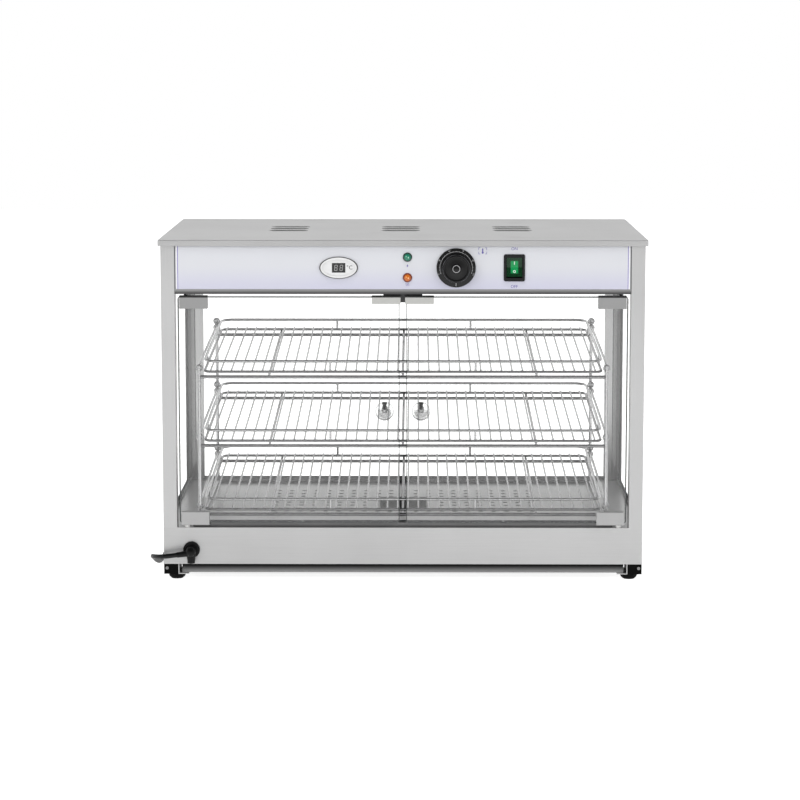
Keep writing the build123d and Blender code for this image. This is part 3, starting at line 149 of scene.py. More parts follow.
# ---- shader helpers
class Sock:
    def __init__(self, kit, out):
        self.kit, self.out = kit, out

    def maths(self, operation, *values):
        return self.kit.make("Math", {"operation": operation}, dict(enumerate(values)))

    def __add__(self, other):
        return self.maths("ADD", self, other)

    def __sub__(self, other):
        return self.maths("SUBTRACT", self, other)

    def __rsub__(self, other):
        return self.maths("SUBTRACT", other, self)

    def __mul__(self, other):
        return self.maths("MULTIPLY", self, other)

    def __gt__(self, other):
        return self.maths("GREATER_THAN", self, other)

    def __lt__(self, other):
        return self.maths("LESS_THAN", self, other)

    def __abs__(self):
        return self.maths("ABSOLUTE", self)

    __radd__ = __add__
    __rmul__ = __mul__


class Kit:
    # one node tree and the ways to add nodes to it
    def __init__(self, name, holder=None):
        self.mat = holder or bpy.data.materials.new(name)
        self.mat.use_nodes = True
        self.tree = self.mat.node_tree
        self.tree.nodes.clear()

    def make(self, kind, settings=None, sockets=None, output=0):
        node = self.tree.nodes.new("ShaderNode" + kind)
        for key, value in (settings or {}).items():
            if key == "stops":
                while len(node.color_ramp.elements) < len(value):
                    node.color_ramp.elements.new(0.5)
                for stop, (place, colour) in zip(node.color_ramp.elements, value):
                    stop.position = place
                    stop.color = (*colour, 1)
            else:
                setattr(node, key, value)
        for key, value in (sockets or {}).items():
            if isinstance(value, Sock):
                self.tree.links.new(value.out, node.inputs[key])
            else:
                node.inputs[key].default_value = value
        return Sock(self, node.outputs[output] if node.outputs else None)

    def coords(self, scale=(1, 1, 1), move=(0, 0, 0), turn=(0, 0, 0)):
        where = self.make("TexCoord", output="Object")
        return self.make(
            "Mapping", sockets={"Vector": where, "Scale": scale, "Location": move, "Rotation": turn}
        )

    def axis(self, letter, source="Object"):
        return self.make(
            "SeparateXYZ", sockets={0: self.make("TexCoord", output=source)}, output=letter
        )

    def noise(self, scale, detail=2.0, rough=0.5, at=None):
        return self.make(
            "TexNoise",
            sockets={"Vector": at or self.coords(), "Scale": scale, "Detail": detail, "Roughness": rough},
        )

    def blend(self, mask, a, b):
        full = [v if isinstance(v, Sock) else (*v, 1) for v in (a, b)]
        return self.make(
            "Mix", {"data_type": "RGBA"}, {0: mask, 6: full[0], 7: full[1]}, output=2
        )

    def smooth(self, value, low, high):
        return self.make(
            "MapRange", {"interpolation_type": "SMOOTHSTEP"}, {0: value, 1: low, 2: high}
        )

    def bump(self, height, strength, distance=0.0005):
        return self.make(
            "Bump", sockets={"Height": height, "Strength": strength, "Distance": distance}
        )

    def surface(self, base, rough, metal=0.0, normal=None, **fixed):
        sockets = {"Base Color": base if isinstance(base, Sock) else (*base, 1), "Roughness": rough}
        sockets["Metallic"] = metal
        if normal is not None:
            sockets["Normal"] = normal
        sockets.update({key.replace("_", " "): value for key, value in fixed.items()})
        return self.make("BsdfPrincipled", sockets=sockets)

    def close(self, shader):
        self.make("OutputMaterial", sockets={"Surface": shader})
        return self.mat


def steel(name, dark, light, along, rough, metal=0.7, streak=700, paintedShadeBelow=None, paintedWallShade=None):
    # brushed sheet: streaks run along one axis, and along Y on faces that look sideways; it may get painted shade
    # below a given height, and painted shade on faces that are not level, such as the walls of holes
    form = {
        "long": 9, "side": 0.7, "share": (0.4, 0.6), "tones": (0.3, 0.7), "smudge": (0.55, 0.8), "dull": 0.06,
    }
    kit = Kit(name)
    fine = {axis: tuple(form["long"] if axis == other else streak for other in "XYZ") for axis in "XYZ"}
    lines = kit.noise(1, 4, 0.6, kit.coords(fine[along]))
    sideways = abs(kit.axis("X", "Normal")) > form["side"]
    other = kit.noise(1, 4, 0.6, kit.coords(fine["Z" if along == "Z" else "Y"]))
    grain = lines + sideways * (other - lines)
    cloud = kit.noise(6, 3)
    smudge = kit.smooth(kit.noise(14, 5, 0.65, kit.coords(move=(3.1, 1.7, 0.4))), *form["smudge"])
    mixed = grain * form["share"][0] + cloud * form["share"][1]
    tone = kit.blend(kit.smooth(mixed, *form["tones"]), dark, light)
    # painted shade: darker below a given height
    if paintedShadeBelow:
        low, high, shade = paintedShadeBelow
        tone = kit.blend(kit.smooth(kit.axis("Z"), low, high), shade, tone)
    # painted shade: dark on faces that are not level, such as the walls of holes
    if paintedWallShade:
        tone = kit.blend(abs(kit.axis("Z", "Normal")) < 0.5, tone, paintedWallShade)
    return kit.close(
        kit.surface(
            tone,
            rough[0] + grain * (rough[1] - rough[0]) + smudge * form["dull"],
            metal,
            kit.bump(grain, 0.06, 0.0002),
        )
    )


def paneGlass(name, band=None):
    # a clear pane: its ground edges, and a narrow band beside them, are painted as darker lines, a painted reflection
    # of the edges seen through the glass
    form = {"flat": 0.6, "edge": 0.86, "meeting": 0.5, "plain": 0.7, "shine": 0.035, "smear": 0.03}
    kit = Kit(name)
    axes = [abs(kit.axis(letter, "Normal")) for letter in "XYZ"]
    if band:
        (left, right), (bottom, top), width = band
        flat = axes[1]
        across, up = abs(kit.axis("X")), kit.axis("Z")
        beside = (across < left + width) + (across > right - width)
        near = beside + (up < bottom + width) + (up > top - width)
        # painted darker lines on the edge faces and on a narrow band beside them
        edge = ((flat < form["flat"]) + near) > 0.5
        weight = edge * (form["edge"] - (across < left + width * 1.5) * form["meeting"])
    else:
        # painted darker lines on the top and bottom edge faces
        edge = axes[2] > form["flat"]
        weight = edge * form["plain"]
    smear = kit.noise(9, 3)
    shine = kit.surface(
        kit.blend(edge, (0.93, 0.93, 0.93), (0.09, 0.095, 0.095)),
        0.02 + edge * 0.3 + smear * 0.02,
        1.0 - edge,
    )
    clear = kit.make("BsdfTransparent", sockets={0: (0.992, 0.993, 0.992, 1)})
    share = form["shine"] + smear * form["smear"] + weight
    return kit.close(kit.make("MixShader", sockets={0: share, 1: clear, 2: shine}))


def plastic(name, base, rough, grain=900, depth=0.05, metal=0.0, **fixed):
    kit = Kit(name)
    speck = kit.noise(grain, 2)
    cloud = kit.noise(40, 3)
    light = [min(1.0, v * 1.3 + 0.001) for v in base]
    return kit.close(
        kit.surface(
            kit.blend(cloud, base, light),
            rough + speck * 0.12 + cloud * 0.06 - 0.06,
            metal,
            kit.bump(speck, depth, 0.0002),
            **fixed,
        )
    )


def chromeWire(name, dark, light):
    # plated wire, a little duller in patches
    kit = Kit(name)
    cloud = kit.noise(55, 3)
    return kit.close(
        kit.surface(
            kit.blend(cloud, dark, light), 0.08 + cloud * 0.08, 1.0,
            kit.bump(kit.noise(400, 2), 0.04, 0.0002),
        )
    )


def panelFoil():
    # pale foil that turns lilac towards its lower edge, with a thin line near each end
    form = {"low": 0.4245, "high": 0.462, "line": 0.3207, "lineWidth": 0.0011, "dark": 0.3242}
    kit = Kit("panelFoil")
    up = kit.axis("Z")
    height = kit.smooth(up, form["low"], form["high"])
    tone = kit.blend(height, (0.60, 0.60, 0.73), (0.695, 0.705, 0.745))
    cloud = kit.noise(9, 2)
    tone = kit.blend(cloud * 0.3, tone, (0.74, 0.745, 0.78))
    reach = abs(kit.axis("X"))
    line = (reach > form["line"]) * (reach < form["line"] + form["lineWidth"])
    tone = kit.blend(line, tone, (0.25, 0.22, 0.52))
    tone = kit.blend(reach > form["line"] + form["lineWidth"], tone, (0.84, 0.84, 0.86))
    tone = kit.blend(reach > form["dark"], tone, (0.16, 0.16, 0.17))
    return kit.close(kit.surface(tone, 0.36 + cloud * 0.08, 0.0, kit.bump(kit.noise(1200, 2), 0.04, 0.0001)))


def rockerGreen():
    # dark green lens with a lit core
    form = {"halfWidth": (0.0042, 0.0062), "halfHeight": (0.0075, 0.0098)}
    kit = Kit("rockerGreen")
    spot = middleOf("switch_rocker")
    across, up = abs(kit.axis("X") - spot.x), abs(kit.axis("Z") - spot.z)
    core = (1 - kit.smooth(across, *form["halfWidth"])) * (1 - kit.smooth(up, *form["halfHeight"]))
    frost = kit.noise(700, 2)
    return kit.close(
        kit.surface(
            kit.blend(core, (0.001, 0.030, 0.008), (0.003, 0.20, 0.055)), 0.22 + frost * 0.1, 0.0,
            kit.bump(frost, 0.05, 0.0002), Specular_IOR_Level=0.3, Coat_Weight=0.1, Coat_Roughness=0.1,
            Emission_Color=kit.blend(core, (0.0, 0.004, 0.001), (0.003, 0.36, 0.10)),
            Emission_Strength=0.25,
        )
    )


def lens(name, node, deep, mid, bright):
    # coloured lens: deep near its rim, with two painted pale glints in its facets
    form = {"paintedGlints": ((-1.9, 1.3, 1.0), (1.2, -0.2, 1.3)), "stretch": 1.9, "soft": 0.8, "rim": (3.6, 5.4)}
    kit = Kit(name)
    spot = middleOf(node)
    across, up = (kit.axis("X") - spot.x) * 1000, (kit.axis("Z") - spot.z) * 1000
    frost = kit.noise(600, 2)
    rim = kit.smooth(across * across + up * up, form["rim"][0] ** 2, form["rim"][1] ** 2)
    tone = kit.blend(rim, mid, deep)
    # painted highlights: two pale glints blended into the colour
    glow = 0
    for x, z, size in form["paintedGlints"]:
        side, rise = (across - x) * form["stretch"], up - z
        glow = glow + (1 - kit.smooth(side * side + rise * rise, size**2 * 0.3, size**2 * 1.6))
    tone = kit.blend(glow * 0.85, tone, bright)
    return kit.close(
        kit.surface(
            tone, 0.12 + frost * 0.1, 0.0, kit.bump(frost, 0.08, 0.0002), Coat_Weight=0.3,
            Coat_Roughness=0.05, Emission_Color=tone, Emission_Strength=0.12,
        )
    )


def clearBall():
    # clear body with painted refraction and reflection: painted darker towards its outline, a painted grey bowl in its
    # lower half and a painted bent image of its stem above
    form = {
        "radius": 0.0135, "bowlDrop": 0.12, "share": (0.03, 0.42, 0.2, 0.85), "outline": (0.36, 0.40),
        "paintedBowl": (0.42, 0.62), "level": (0.14, -0.04), "rim": (0.34, 0.80),
        "foot": (0.2, -0.8), "stem": (0.30, 0.92), "lean": 0.38, "tip": 0.05,
    }
    kit = Kit("clearBall")
    spot = middleOf("right_ball_knob")
    across = abs(abs(kit.axis("X")) - spot.x) * (1 / form["radius"])
    up = (kit.axis("Z") - spot.z) * (1 / form["radius"])
    # painted refraction: a grey bowl in the lower half
    drop = up + form["bowlDrop"]
    paintedBowl = 1 - kit.smooth(across * across + drop * drop, *form["paintedBowl"])
    paintedBowl = paintedBowl * kit.smooth(up, *form["level"])
    # painted refraction: the bent image of the stem above
    width = (up - form["stem"][0]) * form["lean"] + form["tip"]
    paintedStemImage = (up > form["stem"][0]) * (up < form["stem"][1]) * (across < width)
    # painted dark outline
    facing = kit.make("LayerWeight", sockets={0: 0.5}, output="Facing")
    rim = kit.smooth(facing, *form["rim"]) * (
        form["outline"][0] + kit.smooth(up, *form["foot"]) * form["outline"][1]
    )
    haze = kit.noise(60, 2)
    tone = kit.blend(rim + paintedStemImage, (0.22, 0.22, 0.22), (0.05, 0.05, 0.05))
    shine = kit.surface(tone, 0.04 + haze * 0.03, 0.0, None, Coat_Weight=0.4)
    clear = kit.make("BsdfTransparent", sockets={0: (0.98, 0.982, 0.982, 1)})
    front = kit.axis("Y", "Normal") < 0
    least, bowlShare, hazeShare, coneShare = form["share"]
    share = least + front * (paintedBowl * (bowlShare + haze * hazeShare) + paintedStemImage * coneShare) + rim
    return kit.close(kit.make("MixShader", sockets={0: share, 1: clear, 2: shine}))


def panShade():
    # the folded pan under the base: black in the shadow of the case, grey at its lower edge
    kit = Kit("panSteel")
    low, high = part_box("bottom_pan")
    lift = kit.smooth(kit.axis("Z"), high.z - 0.002, low.z - 0.004)
    grain = kit.noise(1, 3, 0.6, kit.coords((9, 600, 600)))
    tone = kit.blend(lift, (0.002, 0.002, 0.002), (0.42, 0.42, 0.42))
    return kit.close(
        kit.surface(tone, 0.5 + grain * 0.1, 0.0, kit.bump(grain, 0.05, 0.0002), Specular_IOR_Level=0.1)
    )


def displayFace():
    # pale face with a dark window for its figures
    form = {"halfWindow": (0.0096, 0.0069)}
    kit = Kit("displayFace")
    spot = middleOf("display_bezel")
    across, up = abs(kit.axis("X") - spot.x), abs(kit.axis("Z") - spot.z)
    window = (across < form["halfWindow"][0]) * (up < form["halfWindow"][1])
    cloud = kit.noise(80, 2)
    tone = kit.blend(cloud, (0.76, 0.76, 0.765), (0.82, 0.82, 0.825))
    return kit.close(
        kit.surface(
            kit.blend(window, tone, (0.012, 0.012, 0.013)), 0.35 - window * 0.2 + cloud * 0.04, 0.0,
            kit.bump(cloud, 0.02, 0.0001), Coat_Weight=0.3,
        )
    )


def rearPostSteel():
    # two folded legs, with painted light and shade: the outer one painted darker, a painted dark line of shade at the
    # fold, the inner one painted bright; painted shade makes all darker low down
    form = {
        "fold": 0.3304, "line": 0.0030, "bright": 0.3262, "soft": 0.001, "edge": 0.346,
        "low": 0.085, "high": 0.215,
    }
    grey = {"outer": (0.46, 0.38), "inner": (0.74, 0.54), "low": (0.17, 0.10), "line": 0.03, "streak": 0.20}
    kit = Kit("rearPostSteel")
    across, up = abs(kit.axis("X")), kit.axis("Z")

    def between(mask, pair):
        return kit.blend(mask, (pair[0],) * 3, (pair[1],) * 3)

    grain = kit.noise(1, 4, 0.6, kit.coords((700, 700, 9)))
    turn = kit.smooth(across, form["bright"] - form["soft"], form["bright"] + form["soft"])
    # painted shade on the outer leg, painted light on the inner leg
    outer = between(kit.smooth(across, form["fold"], form["edge"]), grey["outer"])
    tone = kit.blend(across > form["fold"], between(turn, grey["inner"]), outer)
    # painted shade: darker low down
    tone = kit.blend(kit.smooth(up, form["low"], form["high"]), between(turn, grey["low"]), tone)
    # painted shade: a dark line at the fold
    line = (across > form["fold"]) * (across < form["fold"] + form["line"])
    tone = kit.blend(line, tone, (grey["line"],) * 3)
    tone = kit.blend(grain * 0.3, tone, (grey["streak"],) * 3)
    return kit.close(kit.surface(tone, 0.32 + grain * 0.1, 0.4, kit.bump(grain, 0.06, 0.0002)))


def topShaded(name, dark, light, high=None):
    # plate whose upper edge has a painted shadow; the pieces at the top of the doors may be painted darker, as painted
    # shade
    form = {"upperHalf": 0.25, "band": 2.5 * mm, "shadow": (0.015, 0.015, 0.015)}
    kit = Kit(name)
    grain = kit.noise(1, 3, 0.6, kit.coords((9, 300, 300)))
    tone = kit.blend(kit.noise(50, 3), dark, light)
    # painted shade: a darker tone for the pieces above a given height
    if high:
        tone = kit.blend(kit.axis("Z") > form["upperHalf"], tone, high)
    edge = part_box("left_strike_plate")[1].z - form["band"]
    tone = kit.blend(kit.axis("Z") > edge, tone, form["shadow"])
    return kit.close(kit.surface(tone, 0.36 + grain * 0.1, 0.35, kit.bump(grain, 0.06, 0.0002)))


def bezelRing():
    # pale ring with a painted dark line at its outer edge, painted shade on an edge that is metallic there
    form = {"across": 0.0275, "up": 0.0157, "line": 0.93}
    kit = Kit("bezelRing")
    spot = middleOf("display_bezel")
    across = (kit.axis("X") - spot.x) * (1 / form["across"])
    up = (kit.axis("Z") - spot.z) * (1 / form["up"])
    # painted shade: a dark line at the outer edge
    rim = kit.smooth(across * across + up * up, form["line"] ** 2, form["line"] ** 2 + 0.05)
    cloud = kit.noise(80, 2)
    return kit.close(
        kit.surface(kit.blend(rim, (0.80, 0.80, 0.80), (0.10, 0.10, 0.10)), 0.25 + cloud * 0.1, rim * 0.8,
                    kit.bump(cloud, 0.02, 0.0001))
    )


doorLow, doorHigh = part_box("right_door_glass")
# width of the painted dark band beside the door panes' edges
doorBand = ((doorLow.x, doorHigh.x), (doorLow.z, doorHigh.z), 1.7 * mm)
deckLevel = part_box("floor_deck")[1].z
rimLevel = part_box("header_rail")[0].z
looks = {
    "sheet": steel("sheetSteel", (0.50, 0.50, 0.50), (0.56, 0.56, 0.56), "X", (0.34, 0.44)),
    "base": steel("baseSteel", (0.47, 0.47, 0.47), (0.53, 0.53, 0.53), "X", (0.34, 0.44)),
    # posts: painted shade, darker towards the bottom
    "post": steel(
        "postSteel", (0.56, 0.56, 0.56), (0.61, 0.61, 0.61), "Z", (0.34, 0.44),
        paintedShadeBelow=(deckLevel, rimLevel, (0.52, 0.52, 0.52)),
    ),
    # header rail: a darker copy of the sheet steel, painted shade, and darker still along its lower edge, more painted
    # shade
    "rail": steel(
        "railSteel", (0.30, 0.30, 0.30), (0.36, 0.36, 0.36), "X", (0.30, 0.40),
        paintedShadeBelow=(rimLevel + 0.001, rimLevel + 0.0068, (0.085, 0.085, 0.085)),
    ),
    # deck: darker than the sheet, a painted reflection, with painted shade on the walls of its holes
    "deck": steel(
        "deckSteel", (0.36, 0.36, 0.36), (0.44, 0.44, 0.44), "X", (0.26, 0.36), paintedWallShade=(0.03, 0.03, 0.03),
    ),
    "shade": steel("shadeSteel", (0.13, 0.13, 0.13), (0.19, 0.19, 0.19), "X", (0.30, 0.40)),
    "rearPost": rearPostSteel(),
    # beads: painted shade, darker low down near the deck
    "bead": steel(
        "beadSteel", (0.60, 0.60, 0.60), (0.68, 0.68, 0.68), "Z", (0.28, 0.38),
        paintedShadeBelow=(deckLevel, deckLevel + 0.13, (0.16, 0.16, 0.16)),
    ),
    # the pieces at the top of the doors get the third, darker tone: painted shade
    "cast": topShaded("castZinc", (0.40, 0.40, 0.40), (0.46, 0.46, 0.46), (0.33, 0.33, 0.33)),
    "bolt": steel("boltSteel", (0.20, 0.20, 0.20), (0.26, 0.26, 0.26), "X", (0.34, 0.44), 0.5, 300),
    "plate": topShaded("plateSteel", (0.52, 0.52, 0.50), (0.57, 0.57, 0.55)),
    "doorGlass": paneGlass("doorGlass", doorBand),
    "paneGlass": paneGlass("paneGlass"),
    "black": plastic("blackPlastic", (0.003, 0.003, 0.0033), 0.20, Specular_IOR_Level=0.32),
    "matte": plastic("blackMoulding", (0.0025, 0.0025, 0.0026), 0.36, 1400, 0.12, Specular_IOR_Level=0.18),
    "block": plastic("blackBlock", (0.001, 0.001, 0.001), 0.55, 1400, 0.12, Specular_IOR_Level=0.08),
    "rubber": plastic("blackRubber", (0.0015, 0.0015, 0.0015), 0.55, 1800, 0.15, Specular_IOR_Level=0.12),
    "sheath": plastic("cordSheath", (0.0025, 0.0025, 0.0027), 0.34, 1200, 0.08, Specular_IOR_Level=0.28),
    "nylon": plastic("whiteNylon", (0.78, 0.78, 0.76), 0.45),
    "seal": plastic("greySeal", (0.09, 0.09, 0.092), 0.5),
    "copper": plastic("copperTube", (0.55, 0.26, 0.15), 0.3, metal=1.0),
    "ink": plastic("panelInk", (0.11, 0.09, 0.34), 0.5),
    "dialInk": plastic("dialInk", (0.50, 0.50, 0.51), 0.5),
    "mark": plastic("paleMark", (0.72, 0.80, 0.74), 0.4),
    "blackInk": plastic("blackInk", (0.02, 0.02, 0.02), 0.4),
    "segment": plastic("displaySegment", (0.30, 0.30, 0.30), 0.4),
    "bezel": bezelRing(),
    "screw": plastic("stemMetal", (0.45, 0.45, 0.45), 0.2, 300, 0.02, 0.8),
    "wire": chromeWire("chromeWire", (0.40, 0.40, 0.405), (0.48, 0.48, 0.485)),
    # a darker copy of the same chrome wire for the grids and stand rails: painted shade
    "shadedGridWire": chromeWire("shadedGridWire", (0.20, 0.20, 0.205), (0.27, 0.27, 0.275)),
    "catch": plastic("catchBlock", (0.06, 0.06, 0.06), 0.4),
    "panel": panelFoil(),
    "pan": panShade(),
    "face": displayFace(),
    # the third colour of each lens is its painted glint
    "greenLens": lens(
        "greenLens", "power_lamp", (0.002, 0.035, 0.020), (0.004, 0.17, 0.10), (0.45, 0.80, 0.62),
    ),
    "orangeLens": lens(
        "orangeLens", "heat_lamp", (0.16, 0.022, 0.002), (0.55, 0.13, 0.008), (1.0, 0.62, 0.25),
    ),
    "rocker": rockerGreen(),
    "ball": clearBall(),
}

nodeLooks = {
    "lid": "sheet", "base_shell": "base", "floor_deck": "deck", "water_tray": "shade",
    "door_sill": "shade", "bottom_pan": "pan", "corner_blocks": "block", "foot_brackets": "sheet",
    "rubber_feet": "rubber", "base_bolts": "bolt", "front_posts": "post", "rear_posts": "rearPost",
    "corner_beads": "bead", "side_glass": "paneGlass", "rear_glass": "paneGlass",
    "glass_seats": "seal", "header_rail": "rail", "header_shell": "sheet",
    "ceiling_plate": "sheet", "control_panel": "panel", "display_bezel": "bezel",
    "display_module": "face", "power_lamp": "greenLens", "heat_lamp": "orangeLens",
    "thermostat_body": "matte", "thermostat_bulb": "copper", "bulb_clip": "sheet",
    "thermostat_knob": "black", "knob_spindle": "cast", "switch_body": "black",
    "switch_rocker": "rocker", "hinge_washers": "nylon", "magnetic_catch": "catch",
    "heater_element": "shade", "heater_brackets": "sheet", "terminal_block": "nylon",
    "cable_gland": "matte", "power_cord": "sheath", "cord_coil": "sheath", "mains_plug": "matte",
}
for side in ("left", "right"):
    nodeLooks[side + "_door_glass"] = "doorGlass"
    nodeLooks[side + "_hinge_blocks"] = "cast"
    nodeLooks[side + "_strike_plate"] = "plate"
    nodeLooks[side + "_knob_stem"] = "cast"
    nodeLooks[side + "_ball_knob"] = "ball"
# grids and stand rails take the darker copy of the chrome wire, painted shade
for name in nodes:
    if name.startswith("stand_") or "_shelf_" in name:
        nodeLooks[name] = "shadedGridWire" if name.endswith("_grid") or name == "stand_rails" else "wire"
for name, node in nodes.items():
    node.data.materials.clear()
    node.data.materials.append(looks[nodeLooks[name]])
cordCurve.materials.append(looks["sheath"])
print("materials on", len(nodeLooks), "nodes")


def addPiece(name, bm, look, body, hides=(), smooth=40):
    # makes the mesh an object at the origin, with its look, and lets it ride
    mesh = bpy.data.meshes.new(name)
    bm.to_mesh(mesh)
    bm.free()
    return settle(bpy.data.objects.new(name, mesh), look, body, hides, smooth)


def settle(piece, look, body, hides=(), smooth=40):
    bpy.context.scene.collection.objects.link(piece)
    piece.data.materials.clear()
    piece.data.materials.append(looks[look])
    if smooth:
        piece.data.shade_smooth()
        piece.modifiers.new("edges", "EDGE_SPLIT").split_angle = radians(smooth)
    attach(piece, body)
    if hides:
        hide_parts(*hides)
    return piece


def spun(bm, profile, centre, axis, steps=64):
    # turns a line of (radius, distance along axis) about an axis through centre
    side = Vector((0, 0, 1)) if abs(Vector(axis).z) < 0.5 else Vector((1, 0, 0))
    line = [bm.verts.new(Vector(centre) + (side * r + Vector(axis) * a) * mm) for r, a in profile]
    edges = [bm.edges.new(pair) for pair in zip(line, line[1:])]
    bmesh.ops.spin(
        bm, geom=line + edges, cent=centre, axis=axis, angle=2 * pi, steps=steps, use_merge=True
    )
    bmesh.ops.remove_doubles(bm, verts=bm.verts, dist=1e-6)
    bmesh.ops.recalc_face_normals(bm, faces=bm.faces)


def flatShape(bm, outline, thickness):
    # an outline in X and Z, in mm, given a thickness towards the viewer
    corners = [bm.verts.new((x * mm, 0, z * mm)) for x, z in outline]
    face = bm.faces.new(corners)
    raised = bmesh.ops.extrude_face_region(bm, geom=[face])
    moved = [part for part in raised["geom"] if isinstance(part, bmesh.types.BMVert)]
    bmesh.ops.translate(bm, verts=moved, vec=(0, -thickness * mm, 0))


def printed(name, bm, place, body, look, tilt=0.0):
    # moves flat marks onto their face, then makes them a piece
    bmesh.ops.recalc_face_normals(bm, faces=bm.faces)
    bmesh.ops.transform(bm, matrix=Matrix.Translation(place) @ Matrix.Rotation(tilt, 4, "X"), verts=bm.verts)
    return addPiece(name, bm, look, body, smooth=0)


def lettering(name, words, height, place, body, look, turn=None, thickness=0.06):
    # flat characters that face forward, with the middle of their height at place
    curve = bpy.data.curves.new(name, "FONT")
    curve.body = words
    curve.align_x = "CENTER"
    curve.align_y = "CENTER"
    curve.size = height / 0.70 * mm
    curve.resolution_u = 3
    curve.extrude = thickness / 2 * mm
    shape = bpy.data.objects.new(name, curve)
    bpy.context.scene.collection.objects.link(shape)
    bpy.context.view_layer.update()
    mesh = bpy.data.meshes.new_from_object(shape.evaluated_get(bpy.context.evaluated_depsgraph_get()))
    bpy.data.objects.remove(shape)
    mesh.transform(Matrix.Translation(place) @ (turn or Matrix()) @ Matrix.Rotation(pi / 2, 4, "X"))
    return settle(bpy.data.objects.new(name, mesh), look, body, smooth=0)


def onPanel(x, z, proud=0.05):
    return Vector((x * mm, panelFace - proud * mm, z * mm))


# ---- thermostat knob: skirt with its scale, raised dial, plain ring on its cap
controlLevel = middleOf("thermostat_knob").z / mm
dial = {
    "x": 76.0, "gap": 0.8, "skirt": 28.0, "skirtThick": 2.4, "dial": 20.0, "proud": 20.0, "dish": 1.3,
    "cap": 6.6, "scale": 23.2, "ink": 0.4, "arc": 48, "from": -110.0, "to": 110.0, "marks": 21,
    "mark": 1.1, "figure": 1.9, "figureRadius": 26.1, "figures": ("0", "30", "50", "70", "90", "110"),
}
dialSpot = Vector((dial["x"] * mm, panelFace, controlLevel * mm))
bm = bmesh.new()
skirtTop = dial["gap"] + dial["skirtThick"]
spun(bm, [
    (0, dial["gap"]), (dial["skirt"] - 0.4, dial["gap"]), (dial["skirt"], dial["gap"] + 0.4),
    (dial["skirt"], skirtTop - 1.1), (dial["skirt"] - 0.45, skirtTop - 0.35), (dial["skirt"] - 1.3, skirtTop),
    (dial["dial"] + 1.6, skirtTop), (dial["dial"] + 0.5, skirtTop + 0.5), (dial["dial"], skirtTop + 1.6),
    (dial["dial"] - 0.3, dial["proud"] - 2.0), (dial["dial"] - 0.9, dial["proud"] - 0.6),
    (dial["dial"] - 2.1, dial["proud"]), (dial["dial"] - 3.4, dial["proud"] - 0.3),
    (dial["dial"] - 4.2, dial["proud"] - dial["dish"]),
    (dial["cap"] + 1.2, dial["proud"] - dial["dish"] - 0.2),
    (dial["cap"] + 0.5, dial["proud"] - dial["dish"]), (dial["cap"], dial["proud"] - 0.7),
    (dial["cap"] - 0.8, dial["proud"] - 0.3), (0, dial["proud"] - 0.1),
], dialSpot, (0, -1, 0), 96)
addPiece("thermostatDial", bm, "black", "knob", ["thermostat_knob"], 32)

bm = bmesh.new()
ringLevel = dial["proud"] - 0.22
spun(bm, [(4.7, ringLevel - 0.3), (4.7, ringLevel), (5.25, ringLevel - 0.05), (5.25, ringLevel - 0.4)],
     dialSpot, (0, -1, 0))
addPiece("capRing", bm, "dialInk", "knob")

bm = bmesh.new()
spread = dial["to"] - dial["from"]
arc = []
for k in range(dial["arc"] + 1):
    angle = radians(dial["from"] + spread * k / dial["arc"])
    arc.append((sin(angle), cos(angle)))
inner, outer = dial["scale"] - dial["ink"] / 2, dial["scale"] + dial["ink"] / 2
for one, two in zip(arc, arc[1:]):
    flatShape(bm, [(one[0] * inner, one[1] * inner), (one[0] * outer, one[1] * outer),
                   (two[0] * outer, two[1] * outer), (two[0] * inner, two[1] * inner)], 0.08)
for k in range(dial["marks"]):
    angle = radians(dial["from"] + spread * k / (dial["marks"] - 1))
    out, side = Vector((sin(angle), cos(angle))), Vector((cos(angle), -sin(angle))) * 0.22
    near, far = out * (outer - 0.1), out * (outer + dial["mark"] * (0.55 if k % 2 else 0.8))
    flatShape(bm, [near - side, far - side, far + side, near + side], 0.08)
flatShape(bm, [(-0.35, -22.0), (-0.35, -26.0), (0.35, -26.0), (0.35, -22.0)], 0.08)
bmesh.ops.remove_doubles(bm, verts=bm.verts, dist=1e-6)
scaleSpot = dialSpot - Vector((0, (skirtTop + 0.02) * mm, 0))
printed("dialScale", bm, scaleSpot, "knob", "dialInk")
for k, figure in enumerate(dial["figures"]):
    angle = dial["from"] + spread * k / (len(dial["figures"]) - 1)
    out = Vector((sin(radians(angle)), 0, cos(radians(angle)))) * dial["figureRadius"] * mm
    place = dialSpot + out - Vector((0, (skirtTop + 0.05) * mm, 0))
    lettering("dialFigure" + figure, figure, dial["figure"], place, "knob", "dialInk",
              Matrix.Rotation(radians(angle), 4, "Y"))
print("knob made")

# ---- temperature display: figures in the window, and the degree sign beside it
display = {"x": -91.5, "face": 1.8, "figure": (4.7, 8.6), "stroke": 0.95, "lean": 0.10, "pitch": 7.6}
# three level strokes, then four upright ones: side and level of each
segments = [(0, 1), (0, 0), (0, -1), (-1, 1), (1, 1), (-1, -1), (1, -1)]


def segmentOutline(spot, place):
    wide, tall = display["figure"]
    half, stroke = tall / 2, display["stroke"] / 2
    side, level = place
    if side:
        x = side * (wide / 2 - stroke)
        inset = stroke * 1.3
        low, high = (inset, half - inset) if level > 0 else (-half + inset, -inset)
        corners = [(x - stroke, low), (x, low - stroke * 0.7), (x + stroke, low), (x + stroke, high),
                   (x, high + stroke * 0.7), (x - stroke, high)]
    else:
        z, reach = level * (half - stroke), wide / 2 - stroke * 1.7
        corners = [(-reach, z - stroke), (-reach - stroke * 0.7, z), (-reach, z + stroke),
                   (reach, z + stroke), (reach + stroke * 0.7, z), (reach, z - stroke)]
    return [(spot + x + z * display["lean"], z) for x, z in corners]


